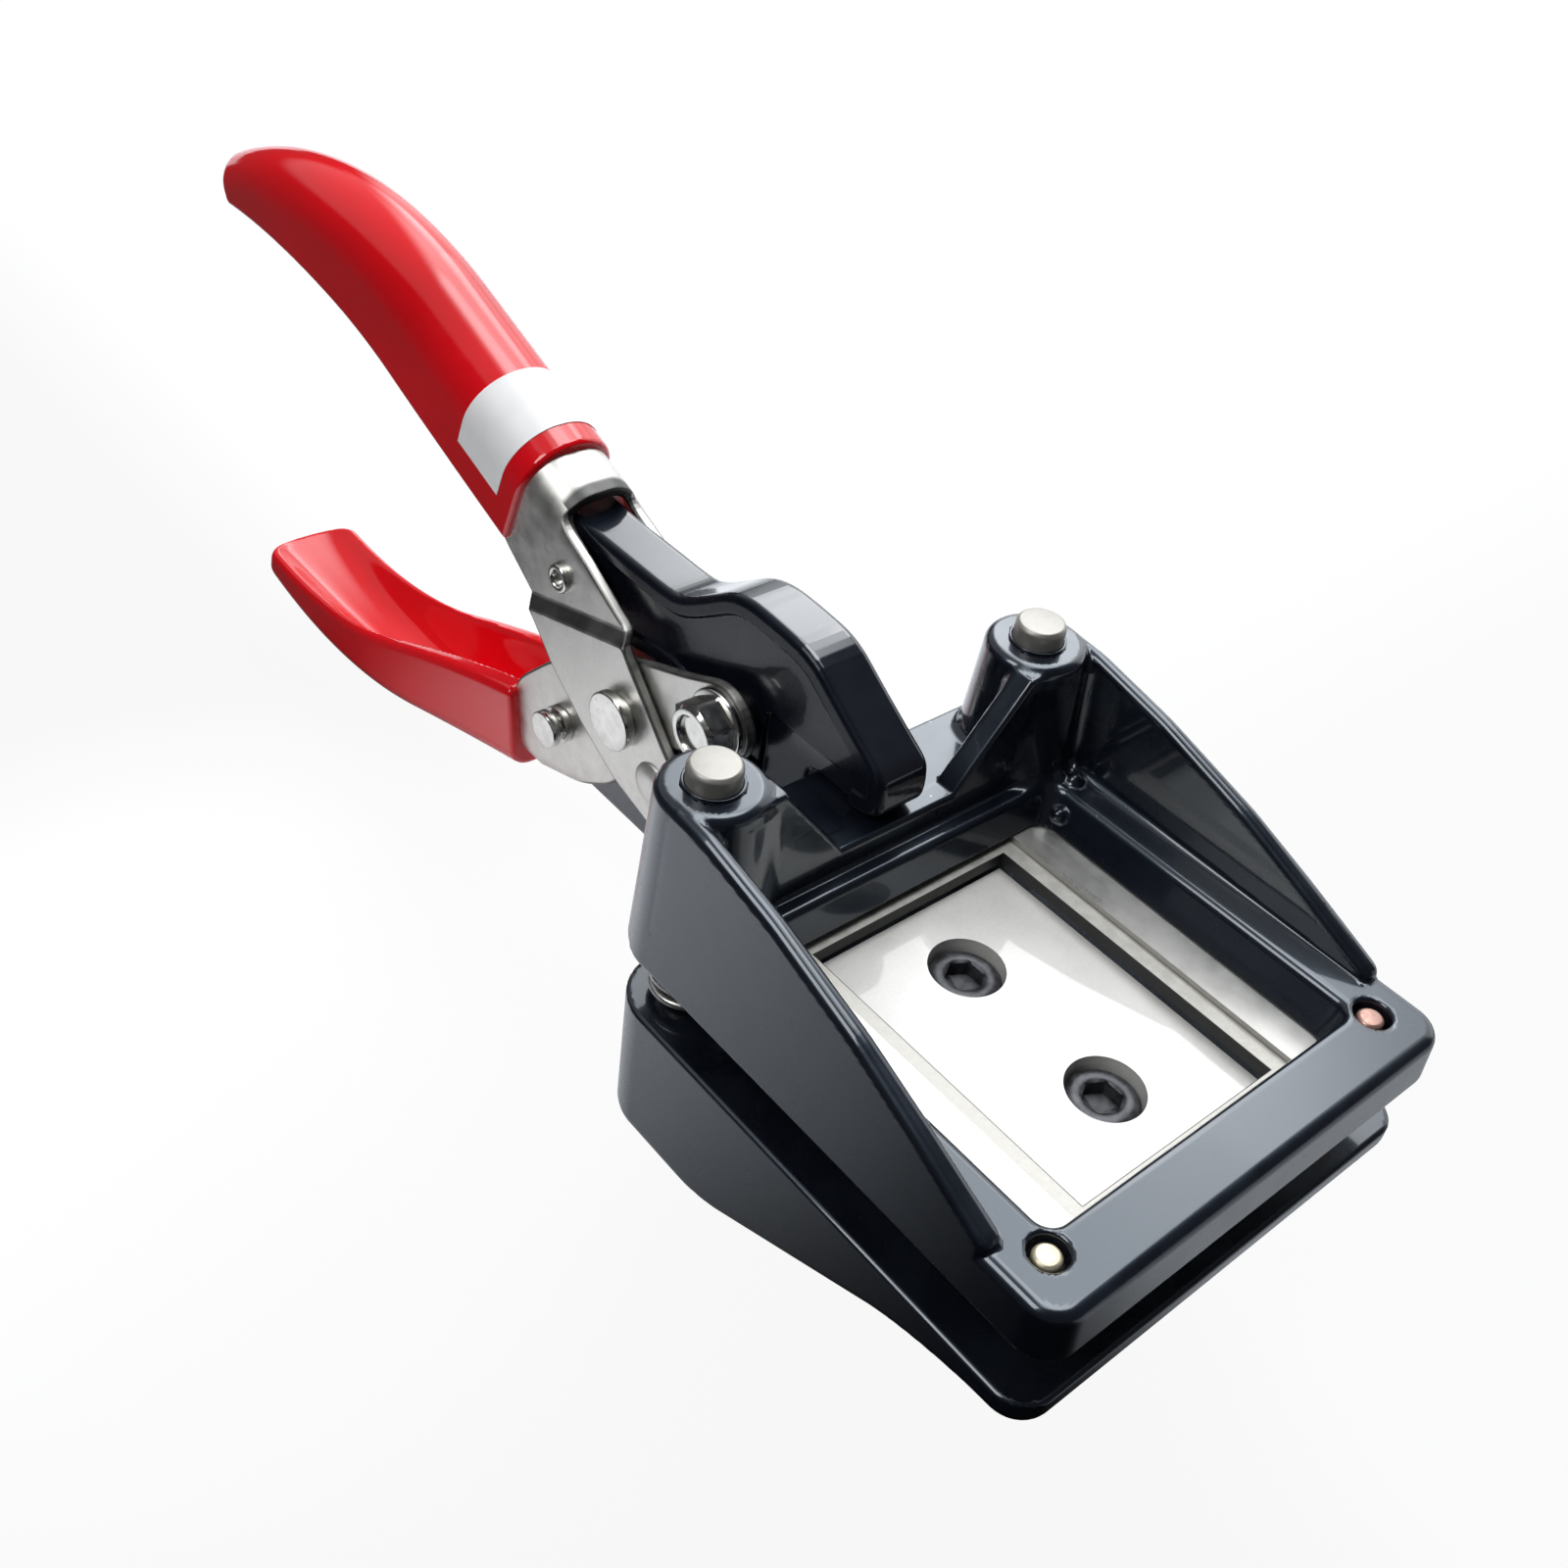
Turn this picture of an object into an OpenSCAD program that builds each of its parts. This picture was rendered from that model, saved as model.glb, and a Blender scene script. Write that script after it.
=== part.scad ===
// Hand-held photo die cutter: squeezing two handles drives a die frame down two guide posts, over a
// fixed punch, and cuts one small photo.
// X runs across the tool, Y from the die at the front to the handles at the back, Z up the guide posts.
// The origin is the middle of the punch's face, where the photo lies and is cut.

/* [Cut photo] */
// Width of the cut photo
cut_w = 30; // [28:0.5:32]
// Length of the cut photo
cut_l = 40; // [38:0.5:42]
// Clearance between punch and die on each side
cut_clear = 0.05; // [0.04:0.01:0.08]
// Room above the punch for the photo, with the handles open
photo_gap = 0.8; // [0.6:0.1:1.2]

/* [Die frame] */
// From the die's side edge to the outside of the frame
side_bar = 16; // [15.5:0.25:17]
// From the die's front edge to the front of the frame
front_bar = 10.3; // [9.8:0.1:12]
// Height of the flat bars round the window
bar_h = 6.4; // [5.6:0.1:7.4]
// Height of the guide bosses
boss_h = 22.7; // [21.5:0.1:24]
// Radius of a guide boss at its top
boss_r = 6; // [5.8:0.1:6.4]
// How much wider a guide boss is at its foot
boss_draft = 1.4; // [1:0.1:1.8]
// Thickness of the side wings
wing_t = 2.9; // [2.4:0.1:3.2]
// Height of the ledge that the press arm pushes on, above the frame's underside
ledge_h = 9.7; // [9.4:0.1:10]

/* [Base] */
// Open gap between the frame's underside and the base
slot_h = 7.6; // [7.4:0.1:8.2]
// Height of the base from its rear pad to its flat top
base_h = 20.2; // [18:0.1:22]
// Thickness of the base at its front lip
lip_h = 4.4; // [4:0.1:5]
// Width of the tail that carries the handles
tail_w = 9.2; // [8.8:0.1:9.3]
// Diameter of the guide posts
post_d = 6; // [5.6:0.1:6.2]

/* [Handles] */
// Thickness of the sheet steel
sheet_t = 1.5; // [1.4:0.05:1.5]
// Thickness of the dipped coat on the grips
coat_t = 1.3; // [1.1:0.1:1.4]
// Straight length of the upper grip's back
upper_run = 30.2; // [28:0.2:36]
// Radius of the upper grip's bend
upper_bend_r = 77; // [70:1:82]
// Angle of the upper grip's bend
upper_bend = 49; // [44:1:54]
// Straight length of the lower grip's back
lower_run = 33; // [31:0.2:39]
// Radius of the lower grip's bend
lower_bend_r = 80; // [72:1:90]
// Angle of the lower grip's bend
lower_bend = 36; // [32:1:40]
// Width of the press arm
arm_w = 7.4; // [6.8:0.1:7.8]

/* [Hardware] */
// Diameter of the main pivot
pivot_d = 6; // [5.6:0.1:6.2]
// Diameter of the drive bolt
bolt_d = 5; // [4.6:0.1:5.2]
// Outer diameter of the roll pin that the press arm turns on
roll_pin_d = 4; // [3.6:0.1:4.2]

/* [Hidden] */
$fn = 64;

// Colours
enamel = "#1d2028";
steel = "#c9c8c2";
bright = "#dedcd4";
dark = "#33353a";
red = "#d41220";

// Fits
run_fit = 0.04;
seat_fit = 0.02;
side_fit = 0.1;
free_gap = 0.3;

// Heights, counted from the punch's face
ring_t = 1.6;
ring_drop = 0.9;
plate_t = 1.5;
frame_z = photo_gap + ring_drop;
ring_top = photo_gap + ring_t;
plate_top = frame_z + plate_t;
bar_top = frame_z + bar_h;
ledge_z = frame_z + ledge_h;
boss_top = frame_z + boss_h;
base_top = frame_z - slot_h;
pad_z = base_top - base_h;
lip_z = base_top - lip_h;

// Plan of the frame and the base
back = cut_l / 2;
half_w = cut_w / 2 + side_bar;
front_y = -cut_l / 2 - front_bar;
boss_foot = boss_r + boss_draft;
post = [half_w - 7, back + 9.4];
rear_y = post.y + 7;
corner_r = 4;
sides = [-1, 1];

// Guide posts, bushes and return springs
post_r = post_d / 2;
post_out = 2.6;
post_in = 13;
post_chamfer = 0.35;
bush_h = 10;
bush_r = post_r + 1.4;
spring_wire = 1;
spring_r = post_r + 0.75 + spring_wire / 2;
spring_turns = 7.5;
pocket_r = spring_r + spring_wire / 2 + 0.45;
pocket_top = boss_top - bush_h;

// Window and die
window_low = 7.1;
window_high = 9;
window_front = 2.1;
window_rear_low = 0.7;
window_rear_high = 2;
window_r = 1.5;
ring_in = 2.3;
ring_out = 5;
plate_side = side_bar - 2;
plate_front = front_bar - 3;
plate_back = back + 3.5;
tongue_w = 28;
tongue_back = back + 13;
die_screw_r = 1.5;
die_screw_head = 2.8;
die_screw_sink = 1.3;
sight_r = 2.1;
front_screw = [cut_w / 2 + 10.4, -cut_l / 2 - 3.6];
rear_screw = [9, back + 8.6];

// Punch and its screws
punch_sink = 1.5;
punch_screw_y = 0.2612 * cut_l;
head_r = 4.1;
head_h = 3.8;
head_sink = 1.2;
sink_r = head_r + 0.4;
screw_r = 2.5;
screw_end = -11.6;
socket_af = 4;
socket_h = 2.2;

// Pivot points in the side view: distance behind the die's rear edge, and height
arm_pivot = [61.5, 12.8];
drive = [28.8, 11.4];
main = [45.7, 1.5];
spool = [60.2, -9.9];
rivets = [[38.3, -4.5], [30, -9]];

// Line of the step in the upper cheeks: its start, its slope and the width of the step
step_at = [46.9, 11.7];
step_slope = -17.3;
step_w = 1.5;

// Layers of the handles, from the middle plane outwards
lower_in = tail_w / 2 + side_fit + 0.05;
lower_out = lower_in + sheet_t;
upper_in = lower_in + 0.05;
upper_out = upper_in + sheet_t;
joggle_in = lower_out + side_fit;
joggle_out = joggle_in + sheet_t;
arm_half = arm_w / 2;

// Pins and bolt
pivot_r = pivot_d / 2;
bolt_r = bolt_d / 2;
pin_r = roll_pin_d / 2;
washer_t = 1;
hex_af = 8;
bolt_head_h = 3.5;
nut_h = 4;
roller_r = bolt_r + 0.7;
slot_travel = 2.1;
arm_slot_r = roller_r + free_gap;
spool_r = 1.75;
rivet_r = 2;
clip_t = 0.9;

// Swept sections
stations = 16;
corner_steps = 5;
steel_corner = 5;
room_gap = 0.2;
leg_h = 16.5;
web_lip = 1;
ferrule = 7;
ferrule_h = coat_t + steel_corner + 1.5;
lap = 0.02;
cheek_end = -0.5;

// Draws a side-view outline as a slab between two values of x
module across(x0, x1) {
    translate([x0, 0, 0]) rotate([90, 0, 90]) linear_extrude(x1 - x0) children();
}

// Draws a front-view outline as a slab between two values of y
module along(y0, y1) {
    translate([0, y1, 0]) rotate([90, 0, 0]) linear_extrude(y1 - y0) children();
}

// Draws a plan outline as a slab between two heights
module up(z0, z1) {
    translate([0, 0, z0]) linear_extrude(z1 - z0) children();
}

// Moves a piece whose y is counted from the die's rear edge
module behind() {
    translate([0, back, 0]) children();
}

// Cylinder along X through a point of the side view
module rod(p, r, x0, x1) {
    translate([x0, p.x, p.y]) rotate([0, 90, 0]) cylinder(r = r, h = x1 - x0);
}

// Hexagonal prism along X through a point of the side view
module hex_rod(p, af, x0, x1) {
    translate([x0, p.x, p.y]) rotate([0, 90, 0]) cylinder(r = af / sqrt(3), h = x1 - x0, $fn = 6);
}

// Upright cylinder at a point of the plan
module peg(p, r, z0, z1) {
    translate([p.x, p.y, z0]) cylinder(r = r, h = z1 - z0);
}

// Rectangle with round corners between two corner points
module round_rect(low, high, r) {
    translate(low + [r, 0]) square([high.x - low.x - 2 * r, high.y - low.y]);
    translate(low + [0, r]) square([high.x - low.x, high.y - low.y - 2 * r]);
    for (x = [low.x + r, high.x - r], y = [low.y + r, high.y - r]) translate([x, y]) circle(r);
}

// Rectangle about the die's middle, grown by m on every side
module die_rect(m) {
    square([cut_w + 2 * m, cut_l + 2 * m], center = true);
}

// Stadium between two points
module stadium(a, b, r) {
    d = b - a;
    n = [-d.y, d.x] * r / norm(d);
    translate(a) circle(r);
    translate(b) circle(r);
    polygon([a + n, a - n, b - n, b + n]);
}

// Course of a handle's back in the side view: straight from its start, then bent on an arc. In order:
// start, slope at the start, straight length, bend radius, bend angle, 1 for a back on top or -1 below,
// height at the mouth, height at the tip, power of the taper, half width of the steel, share with steel inside,
// share of the width at the tip
upper_course = [[68.3, 26.8], 19.2, upper_run, upper_bend_r, upper_bend, 1, 17, 5, 2.6, upper_out, 0.7, 0.5];
lower_course = [[66.8, -22.4], -19, lower_run, lower_bend_r, lower_bend, -1, 14.4, 3.2, 1.3, lower_out, 0.55, 0.85];

function course_len(c) = c[2] + c[3] * c[4] * PI / 180;
function slope_at(c, s) = c[1] - c[5] * max(s - c[2], 0) / c[3] * 180 / PI;
function outward(c, s) = c[5] * [-sin(slope_at(c, s)), cos(slope_at(c, s))];
function bend_centre(c) = c[0] + c[2] * [cos(c[1]), sin(c[1])] - c[3] * outward(c, 0);
function spine_at(c, s) =
    s < c[2] ? c[0] + s * [cos(c[1]), sin(c[1])] : bend_centre(c) + c[3] * outward(c, s);
function height_at(c, s) = c[6] - (c[6] - c[7]) * pow(max(s, 0) / course_len(c), c[8]);

// Points of an arc about m, from angle a0 to a1
function arc_points(m, r, a0, a1) = [for (i = [0:corner_steps])
    let (a = a0 + (a1 - a0) * i / corner_steps) m + r * [cos(a), sin(a)]];

// Closed loop of a channel section: x across, y from the open edge to the back. w is its half width,
// h its height, t its wall, r the radius of its outer corners and deep the depth of its hollow
function channel_loop(w, h, t, r, deep) = let (wi = w - t, ri = min(max(r - t, 0.3), 0.7 * wi, 0.7 * (deep - t / 2)))
    concat(arc_points([w - r, h - r], r, 0, 90), arc_points([r - w, h - r], r, 90, 180),
        arc_points([t / 2 - w, t / 2], t / 2, 180, 360), arc_points([ri - wi, deep - ri], ri, 180, 90),
        arc_points([wi - ri, deep - ri], ri, 90, 0), arc_points([w - t / 2, t / 2], t / 2, 180, 360));
loop_n = 6 * (corner_steps + 1);

// Puts a section loop of height h into space at s along a course, its back inset from the course
function placed(loop, c, s, h, inset) = let (k = spine_at(c, s), n = outward(c, s))
    [for (p = loop) [p.x, k.x - n.x * (inset + h - p.y), k.y - n.y * (inset + h - p.y)]];

// Faces of a tube of n rings of m points that start at point number s
function tube_faces(n, m, s) = [for (i = [0:n - 2], j = [0:m - 1])
    [s + i * m + j, s + i * m + (j + 1) % m, s + (i + 1) * m + (j + 1) % m, s + (i + 1) * m + j]];

// The same faces seen from the other side
function turned(faces) = [for (f = faces) [for (i = [len(f) - 1:-1:0]) f[i]]];

// How far a grip's section is drawn in, and its hollow filled, towards its tip
function tip_round(c, u) = u < 0.72 ? 1 : c[11] + (1 - c[11]) * sqrt(1 - pow((u - 0.72) / 0.28, 2));
function tip_fill(u) = u < 0.6 ? 1 : 1 - pow((u - 0.6) / 0.4, 2);

// Section of a grip at the share u of its course
function grip_ring(c, u) = let (s = u * course_len(c), h = height_at(c, s), w = (c[9] + coat_t) * tip_round(c, u),
    t = min(sheet_t + 2 * coat_t, 0.9 * w, 0.8 * h), r = min(steel_corner + coat_t, 0.8 * w, h - t / 2 - 0.3))
    placed(channel_loop(w, h, t, r, max((h - t) * tip_fill(u), t / 2 + 0.6)), c, s, h, 0);

// Section of the room for the sheet steel inside a grip
function room_ring(c, u) = let (s = u * course_len(c), h = height_at(c, s) - 2 * (coat_t - room_gap),
    t = sheet_t + 2 * room_gap)
    placed(channel_loop(c[9] + room_gap, h, t, steel_corner + room_gap, h - t), c, s, h, coat_t - room_gap);

// Dipped grip: a channel-shaped coat with room for the sheet steel inside
module grip(c) {
    room_n = 14;
    room_end = 1.02 * c[10];
    outer = [for (i = [0:stations]) each grip_ring(c, i / stations)];
    room = [for (i = [0:room_n]) each room_ring(c, room_end * i / room_n)];
    inside = (stations + 1) * loop_n;
    last = stations * loop_n;
    room_last = inside + room_n * loop_n;
    faces = concat(
        tube_faces(stations + 1, loop_n, 0),
        turned(tube_faces(room_n + 1, loop_n, inside)),
        [for (j = [0:loop_n - 1]) [j, inside + j, inside + (j + 1) % loop_n, (j + 1) % loop_n]],
        [[for (j = [0:loop_n - 1]) last + j]],
        [[for (j = [0:loop_n - 1]) room_last + loop_n - 1 - j]]);
    polyhedron(concat(outer, room), c[5] > 0 ? faces : turned(faces));
}

// Section of the sheet channel, with its crest at the height 0 and long legs, drawn in by m on every side
module channel_section(w, m) {
    wall = sheet_t - m;
    difference() {
        translate([0, -m]) back_shape(w - m, steel_corner - m, leg_h);
        translate([0, -wall]) back_shape(w - wall, steel_corner - wall, leg_h);
    }
}

module back_shape(w, r, depth) {
    translate([r - w, -depth]) square([2 * (w - r), depth]);
    translate([-w, -depth]) square([2 * w, depth - r]);
    for (s = sides) translate([s * (w - r), -r]) circle(r);
}

// Sheet channel along a course: a straight run that starts in front of the grip, then the bend
module channel_run(c, lip) {
    turn = (c[10] * course_len(c) - c[2]) / c[3] * 180 / PI + 2;
    k = bend_centre(c);
    translate([0, c[0].x, c[0].y]) rotate([c[1], 0, 0]) along(-lip - 1, c[2] + 1)
        rotate(c[5] > 0 ? 0 : 180) translate([0, -coat_t]) channel_section(c[9], lap);
    translate([0, k.x, k.y]) rotate([90, 0, 90]) rotate([0, 0, c[5] > 0 ? c[1] + 90 - turn : c[1] - 90])
        rotate_extrude(angle = turn) translate([c[3] - coat_t, 0]) rotate(-90) channel_section(c[9], 0);
}

// Point of the side view at s along a course and at a depth below its back
function below(c, s, depth) = spine_at(c, s) - depth * outward(c, s);
function steel_edge(c, s) = below(c, s, height_at(c, s) - coat_t - 0.6 * sheet_t);

// Side view of the sheet channel from s = start to its end inside the grip
module channel_outline(c, start) {
    n = 12;
    run = [for (i = [0:n]) start + (c[10] * course_len(c) - start) * i / n];
    polygon(concat([for (s = run) below(c, s, -1)], [for (i = [n:-1:0]) steel_edge(c, run[i])]));
}

// Base: wedge-shaped casting with a flat rear pad, a thin front lip and a tail for the handles
module base_casting() {
    foot_front = back - 3.4;
    lip_back = back - 37.8;
    color(enamel) difference() {
        union() {
            intersection() {
                up(pad_z, base_top) base_plan();
                across(-half_w - boss_draft, half_w + boss_draft) polygon([
                    [front_y - 1, base_top], [front_y - 1, lip_z], [lip_back, lip_z],
                    [foot_front, pad_z], [rear_y - 4, pad_z], [rear_y + 1, pad_z + 4], [rear_y + 1, base_top]]);
            }
            behind() across(-tail_w / 2, tail_w / 2) tail_outline();
            behind() for (p = rivets) rod(p, rivet_r + 1.2, -joggle_in + seat_fit, joggle_in - seat_fit);
        }
        up(base_top - punch_sink, base_top + 1) die_rect(seat_fit - cut_clear);
        for (y = [-punch_screw_y, punch_screw_y]) peg([0, y], screw_r + seat_fit, screw_end - 0.3, base_top);
        for (s = sides) peg([s * post.x, post.y], post_r + seat_fit, base_top - post_in - 0.2, base_top + 1);
        behind() rod(main, pivot_r + seat_fit, -half_w, half_w);
        behind() for (p = rivets) rod(p, rivet_r + seat_fit, -half_w, half_w);
    }
}

// Plan of the base, with its rear corners round about the guide posts
module base_plan() {
    front = front_y + 0.4;
    translate([-half_w, front + corner_r]) square([2 * half_w, post.y - front - corner_r]);
    translate([-half_w + corner_r, front]) square([2 * (half_w - corner_r), corner_r]);
    translate([-post.x, post.y]) square([2 * post.x, rear_y - post.y]);
    for (s = sides) translate([s * (half_w - corner_r), front + corner_r]) circle(corner_r);
    for (s = sides) translate([s * post.x, post.y]) circle(half_w - post.x);
}

// Side view of the tail between the handle cheeks
module tail_outline() {
    tail_z = -18.2;
    polygon([[8, base_top - 1], [8, tail_z - 2.5], [30, tail_z], [56.8, tail_z], [56.8, -9],
        [main.x + 5.2, main.y], [main.x - 5.2, main.y], [34, base_top - 1]]);
    translate(main) circle(5.2);
}

// Punch: ground steel block with two counterbored screw holes
module punch_block() {
    color(bright) difference() {
        up(base_top - punch_sink, 0) die_rect(-cut_clear);
        for (y = [-punch_screw_y, punch_screw_y]) {
            peg([0, y], sink_r, -head_h - head_sink, 1);
            peg([0, y], screw_r + seat_fit, base_top - punch_sink - 1, 0);
        }
    }
}

// Socket-head screws that hold the punch on the base
module punch_screws() {
    color(dark) for (y = [-punch_screw_y, punch_screw_y]) difference() {
        union() {
            peg([0, y], head_r, -head_sink - head_h, -head_sink);
            peg([0, y], screw_r, screw_end, -head_sink - head_h);
        }
        translate([0, y, -head_sink - socket_h]) cylinder(r = socket_af / sqrt(3), h = socket_h + 1, $fn = 6);
    }
}

// Guide posts, pressed into the base
module guide_posts() {
    color(bright) for (s = sides) translate([s * post.x, post.y, 0]) {
        up(base_top - post_in, boss_top + post_out - post_chamfer) circle(post_r);
        translate([0, 0, boss_top + post_out - post_chamfer])
            cylinder(r1 = post_r, r2 = post_r - post_chamfer, h = post_chamfer);
    }
}

// Upper handle: sheet-steel channel with two cheeks that step outwards and reach down to the base's tail
module upper_handle() {
    c = upper_course;
    color(steel) behind() difference() {
        union() {
            intersection() {
                channel_run(c, ferrule);
                across(-half_w, half_w) {
                    channel_outline(c, cheek_end);
                    polygon([below(c, -ferrule, -1), below(c, 0, -1), below(c, 0, ferrule_h), below(c, -ferrule, ferrule_h)]);
                }
            }
            for (s = sides) scale([s, 1, 1]) intersection() {
                stepped_sheet();
                across(0, half_w) {
                    upper_cheek_top();
                    upper_cheek_low();
                }
            }
        }
        rod(arm_pivot, pin_r + seat_fit, -half_w, half_w);
        rod(main, pivot_r + seat_fit, -half_w, half_w);
        for (p = rivets) rod(p, rivet_r + seat_fit, -half_w, half_w);
    }
}

// Sheet that steps outwards along a sloping line, cut to the cheek's outline afterwards
module stepped_sheet() {
    tall = 30;
    long = 40;
    m = 2 * lap;
    translate([0, step_at.x, step_at.y]) rotate([step_slope, 0, 0]) along(-long, long) polygon([
        [joggle_in + m, -tall], [joggle_out - m, -tall], [joggle_out - m, 0], [upper_out - m, step_w],
        [upper_out - m, tall], [upper_in + m, tall], [upper_in + m, step_w], [joggle_in + m, 0]]);
}

// Side view of a cheek above its step, up into the ferrule and the grip's mouth
module upper_cheek_top() {
    c = upper_course;
    polygon([[47.4, 12.2], [66.4, 5.9], [68.6, 6.5], [72.7, 10], steel_edge(c, cheek_end), below(c, 2, leg_h - 4),
        below(c, 2, ferrule_h - 0.8), below(c, -ferrule + 0.3, ferrule_h - 0.8), [57, 17.2], [51.9, 15.2]]);
}

// Side view of a cheek below its step
module upper_cheek_low() {
    tip = rivets[1];
    polygon([[49.6, 12.6], step_at, [45, 10.2], tip + [-3.2, 3.2], tip + [1.2, -4.3], [46.2, -9.1], [54.5, -5.8],
        [61.6, 0], [64.6, 3], [66.4, 5.9], [67.6, 7.2]]);
    translate(tip) circle(4.5);
}

module upper_grip() {
    color(red) behind() grip(upper_course);
}

// Main pivot: headed pin through the upper cheeks, the lower cheeks and the tail
module main_pivot() {
    head_x = joggle_out + seat_fit;
    color(bright) behind() difference() {
        union() {
            rod(main, pivot_r, -head_x, joggle_out + 2.2);
            rod(main, pivot_r + 1.2, -head_x - 0.7, -head_x);
            rod(main, pivot_r + 0.5, -head_x - 1.3, -head_x - 0.7);
            rod(main, pivot_r + 1, -head_x - 2.3, -head_x - 1.3);
        }
        difference() {
            rod(main, pivot_r + 1, joggle_out + 0.1, joggle_out + 0.1 + clip_t);
            rod(main, pivot_r - 0.5, joggle_out, joggle_out + 2);
        }
    }
}

// Spring clip in the main pivot's groove
module pivot_clip() {
    color(dark) behind() difference() {
        rod(main, pivot_r + 1.9, joggle_out + 0.1 + seat_fit, joggle_out + 0.1 + clip_t - seat_fit);
        rod(main, pivot_r - 0.5 + seat_fit, joggle_out, joggle_out + 2);
        translate([joggle_out, main.x - pivot_r + 0.8, main.y - 8]) cube([2, 2 * pivot_r - 1.6, 8]);
    }
}

// Rivets that fix the upper cheeks to the tail
module tail_rivets() {
    color(steel) behind() for (p = rivets) {
        rod(p, rivet_r, -joggle_out - 1, joggle_out + 1);
        for (s = sides) scale([s, 1, 1]) rod(p, rivet_r + 1.2, joggle_out + seat_fit, joggle_out + 1);
    }
}

// Slit roll pin that the press arm turns on
module arm_pin() {
    color(steel) behind() difference() {
        rod(arm_pivot, pin_r, -upper_out - 0.9, upper_out + 0.9);
        rod(arm_pivot, 0.55 * pin_r, -half_w, half_w);
        translate([-half_w, arm_pivot.x, arm_pivot.y - 0.25]) cube([2 * half_w, pin_r + 1, 0.5]);
    }
}

// Washers that centre the press arm between the upper cheeks
module arm_spacers() {
    color(steel) behind() for (s = sides) scale([s, 1, 1]) difference() {
        rod(arm_pivot, pin_r + 2, arm_half + side_fit, upper_in - seat_fit);
        rod(arm_pivot, pin_r + seat_fit, 0, half_w);
    }
}

// Return spring round a guide post: rings of points along a helix, from the base to the boss's pocket
module return_spring() {
    per_turn = 8;
    ring = 6;
    low = base_top + spring_wire / 2 + seat_fit;
    high = pocket_top - spring_wire / 2 - seat_fit;
    n = floor(spring_turns * per_turn);
    coil_gap = (high - low) / spring_turns - spring_wire;
    echo(spring_gap_at_rest = coil_gap);
    points = [for (i = [0:n], j = [0:ring - 1]) let (a = 360 * i / per_turn, b = 360 * j / ring,
        r = spring_r + spring_wire / 2 * cos(b))
        [r * cos(a), r * sin(a), low + (high - low) * i / n + spring_wire / 2 * sin(b)]];
    color(steel) polyhedron(points, concat(tube_faces(n + 1, ring, 0),
        [[for (j = [0:ring - 1]) ring - 1 - j]], [[for (j = [0:ring - 1]) n * ring + j]]));
}

module return_spring_left() {
    translate([-post.x, post.y, 0]) return_spring();
}

module return_spring_right() {
    translate([post.x, post.y, 0]) return_spring();
}

// Die frame: window frame with side wings and two guide bosses
module die_frame() {
    color(enamel) difference() {
        union() {
            up(frame_z, bar_top) round_rect([-half_w, front_y], [half_w, post.y + corner_r], corner_r);
            up(frame_z, ledge_z) translate([-post.x, back + 4.2]) square([2 * post.x, rear_y - back - 4.2]);
            for (s = sides) scale([s, 1, 1]) {
                translate([post.x, post.y, frame_z]) cylinder(r1 = boss_foot, r2 = boss_r, h = boss_h);
                across(half_w - wing_t, half_w - 0.2) wing_outline();
                along(back + 4.2, back + 7.5) rib_outline();
            }
        }
        window();
        up(frame_z - 1, plate_top) plate_outline(side_fit / 2);
        for (s = sides) {
            peg([s * post.x, post.y], pocket_r, frame_z - 1, pocket_top);
            peg([s * post.x, post.y], bush_r + seat_fit, pocket_top - 1, boss_top + 1);
            peg([s * front_screw.x, front_screw.y], die_screw_r + side_fit, frame_z, bar_top);
            peg([s * front_screw.x, front_screw.y], sight_r, plate_top + 2, bar_top + 1);
            peg([s * rear_screw.x, rear_screw.y], die_screw_r + side_fit, frame_z, plate_top + 5.2);
        }
    }
}

// Side view of a wing, from the boss down to the front bar
module wing_outline() {
    front = back - 40.3;
    polygon([[front, frame_z + 1], [front, bar_top], [back - 19, bar_top + 0.6 * (boss_top - bar_top)],
        [post.y - boss_r + 1.2, boss_top - 0.6], [post.y, boss_top - 0.6], [post.y, frame_z + 1]]);
}

// Front view of the slanted rib between the ledge and a boss
module rib_outline() {
    polygon([[8.6, ledge_z - 1], [8.6, ledge_z], [post.x - boss_r, boss_top - 0.6], [post.x, boss_top - 0.6],
        [post.x, ledge_z - 1]]);
}

// Window with sloping walls above the die plate
module window() {
    slice = 0.01;
    hull() {
        up(plate_top - slice, plate_top) round_rect(
            [-cut_w / 2 - window_low, -back - window_front + 0.2], [cut_w / 2 + window_low, back + window_rear_low],
            window_r, $fn = 32);
        up(bar_top, bar_top + slice) round_rect(
            [-cut_w / 2 - window_high, -back - window_front], [cut_w / 2 + window_high, back + window_rear_high],
            window_r, $fn = 32);
    }
}

// Plan of the die plate, grown by m on every side
module plate_outline(m) {
    x = cut_w / 2 + plate_side + m;
    y = cut_l / 2 + plate_front + m;
    translate([-x, -y]) square([2 * x, plate_back + m + y]);
    translate([-tongue_w / 2 - m, 0]) square([tongue_w + 2 * m, tongue_back + m]);
}

// Die plate: flat steel plate let into the frame's underside
module die_plate() {
    color(bright) difference() {
        up(frame_z, plate_top) plate_outline(0);
        up(frame_z - 1, plate_top + 1) die_rect(ring_in + side_fit / 2);
        for (s = sides, p = [front_screw, rear_screw]) {
            peg([s * p.x, p.y], die_screw_r + seat_fit, frame_z - 1, plate_top + 1);
            peg([s * p.x, p.y], die_screw_head + seat_fit, frame_z - 1, frame_z + die_screw_sink);
        }
    }
}

// Die ring: stepped ring with the cutting edge, let into the die plate
module die_ring() {
    color(steel) difference() {
        union() {
            up(photo_gap, frame_z) die_rect(ring_out);
            up(photo_gap, ring_top) die_rect(ring_in);
        }
        up(photo_gap - 1, ring_top + 1) die_rect(0);
    }
}

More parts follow.
